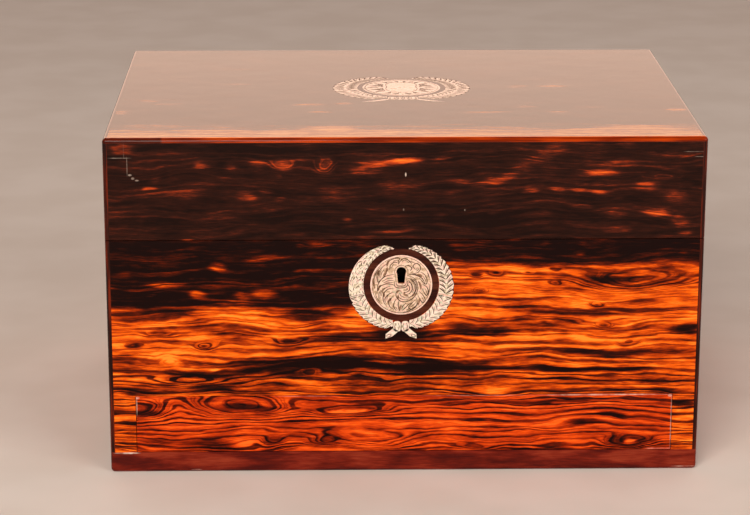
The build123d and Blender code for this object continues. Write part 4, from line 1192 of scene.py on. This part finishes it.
cross_mahogany = mahogany("mahogany_crosswise", 0.0)
facing_mahogany = mahogany("mahogany_facings", well_side - 0.1)
old_brass = brass("brass_polished")
crystal = cut_glass("crystal")
plate = silver_plate("silver_plate_burnished")

dress(coromandel(
    "coromandel_front", "X", "Z", 0.25, marks=front_figure, zone=(-32, 24, 90, 113), lines=0.56,
    patchy=0.85, seed=1.0,
), "body_veneer_front")
dress(coromandel(
    "coromandel_drawer", "X", "Z", 0.28, marks=drawer_figure, lines=0.56, patchy=0.6, seed=1.0,
    stops=RED_COROMANDEL, pale_marks=drawer_wear_and_highlights,
), "drawer_veneer")
dress(coromandel(
    "coromandel_lid_front", "X", "Z", 0.78, marks=lid_front_figure, lines=0.14, patchy=0.6, fleck=0.2,
    seed=4.0, stops=DARK_COROMANDEL, pale_marks=lid_chips,
), "lid_veneer_front")
dress(coromandel(
    "coromandel_lid_top", "X", "Y", 0.74, marks=lid_top_figure_and_light, lines=0.1, patchy=0.4, fleck=0.3, seed=7.0,
    stops=FADED_COROMANDEL, mirror=0.16,
), "lid_veneer_top")
dress(coromandel(
    "coromandel_back", "X", "Z", 0.25, marks=back_figure, zone=(-150, 150, 96, 92), lined=(96, 84),
    lines=0.56, seed=9.0,
), "body_veneer_back")
dress(coromandel(
    "coromandel_sides", "Y", "Z", 0.25, marks=side_figure, zone=(-110, 110, 92, 100), lined=(96, 84),
    lines=0.56, seed=12.0,
), "body_veneer_sides")
dress(coromandel(
    "coromandel_lid_back", "X", "Z", 0.78, lines=0.15, fleck=0.4, seed=15.0, stops=DARK_COROMANDEL,
), "lid_veneer_back")
dress(coromandel(
    "coromandel_lid_sides", "Y", "Z", 0.78, lines=0.15, fleck=0.4, seed=17.0, stops=DARK_COROMANDEL,
), "lid_veneer_sides")
dress(edging_wood("edging_body"), "body_corner_edgings")
dress(edging_wood("edging_lid", strip_from=-123.5), "lid_edgings")
dress(band_rosewood, "base_board")
dress(coromandel(
    "coromandel_mirror_frame", "X", "Y", 0.7, lines=0.2, fleck=0.2, seed=21.0, stops=DARK_COROMANDEL,
), "mirror_frame")
dress(ring_rosewood, "escutcheon_ring", "lid_ring")
dress(
    long_mahogany, "body_front_board", "body_back_board", "dust_board", "lid_top_board", "lid_front_board",
    "lid_back_board", "drawer_front", "drawer_back", "drawer_bottom",
)
dress(cross_mahogany, "body_side_boards", "drawer_guides", "lid_side_boards", "drawer_sides")
dress(facing_mahogany, "well_facings")
dress(brass("brass_lock", dark_below=seam_z - 1.8), "lock_case")
dress(
    old_brass, "lock_link_plate", "hinge_leaves_body", "hinge_leaves_lid", "hinge_pins", "case_screws",
    "lid_screws", "release_pin", "tray_knobs", "lock_bolt",
)
dress(blued_steel("spring_steel_blued"), "drawer_spring")
dress(silvered_glass("silvered_glass"), "mirror_plate")
for side in ("left", "right"):
    dress(crystal, "powder_jar_" + side, "glass_box_" + side)
    dress(plate, "powder_jar_lid_" + side, "glass_box_lid_" + side)
dress(handled_shell, "keyhole_roundel", "lid_roundel")

wreath(
    "front", "escutcheon_wreath", front_roundel["ring"], front_wreath, on_front, "case", leaf=2.8, notch=0.8,
    width=0.42, upper_kinds=("speckled", "leaves"), finish=shell, wax_colour=cut_wax, ribbon_eyes=True,
)
wreath(
    "lid", "lid_wreath", lid_roundel["ring"], lid_wreath, on_lid, "lid", leaf=4.0, notch=1.1,
    width=0.5, upper_kinds=("leaves", "leaves"), finish=handled_shell, wax_colour=lid_wax, ribbon_eyes=False,
)
shadow_width = 1.1
shadows = [(smooth_line(drawn(cut), 5), shadow_width) for cut in roundel_shadows]
bright_rim = arc(15.4, -40, 319, 0.8, 90)
strokes("front_roundel_shadows", shadows, on_front, shadow_wax, "case", shallow_proud)
strokes("front_roundel_engraving", front_scrolls(), on_front, cut_wax, "case")
strokes("front_roundel_rim", [bright_rim], on_front, rim_shell, "case", rim_proud)
strokes("lid_roundel_engraving", lid_scrolls(), on_lid, lid_wax, "lid")
for side in ("left", "right"):
    for vessel, border in (("powder_jar_lid_", round_border()), ("glass_box_lid_", square_border())):
        lid = vessel + side
        strokes(lid + "_engraving", border, on_top(lid), tarnished_cuts, lid, shallow_proud)

velvet_pad("well_floor_velvet", "well_floor_pad", "case")
velvet_pad("drawer_velvet", "drawer_pad", "drawer")
covered_boards("well_dividers_velvet", "well_dividers", "case")
covered_boards("tray_frame_velvet", "tray_frame", "tray")
covered_boards("tray_dividers_velvet", "tray_dividers", "tray")
covered_boards("tray_bottom_velvet", "tray_bottom", "tray", radius=0.4)
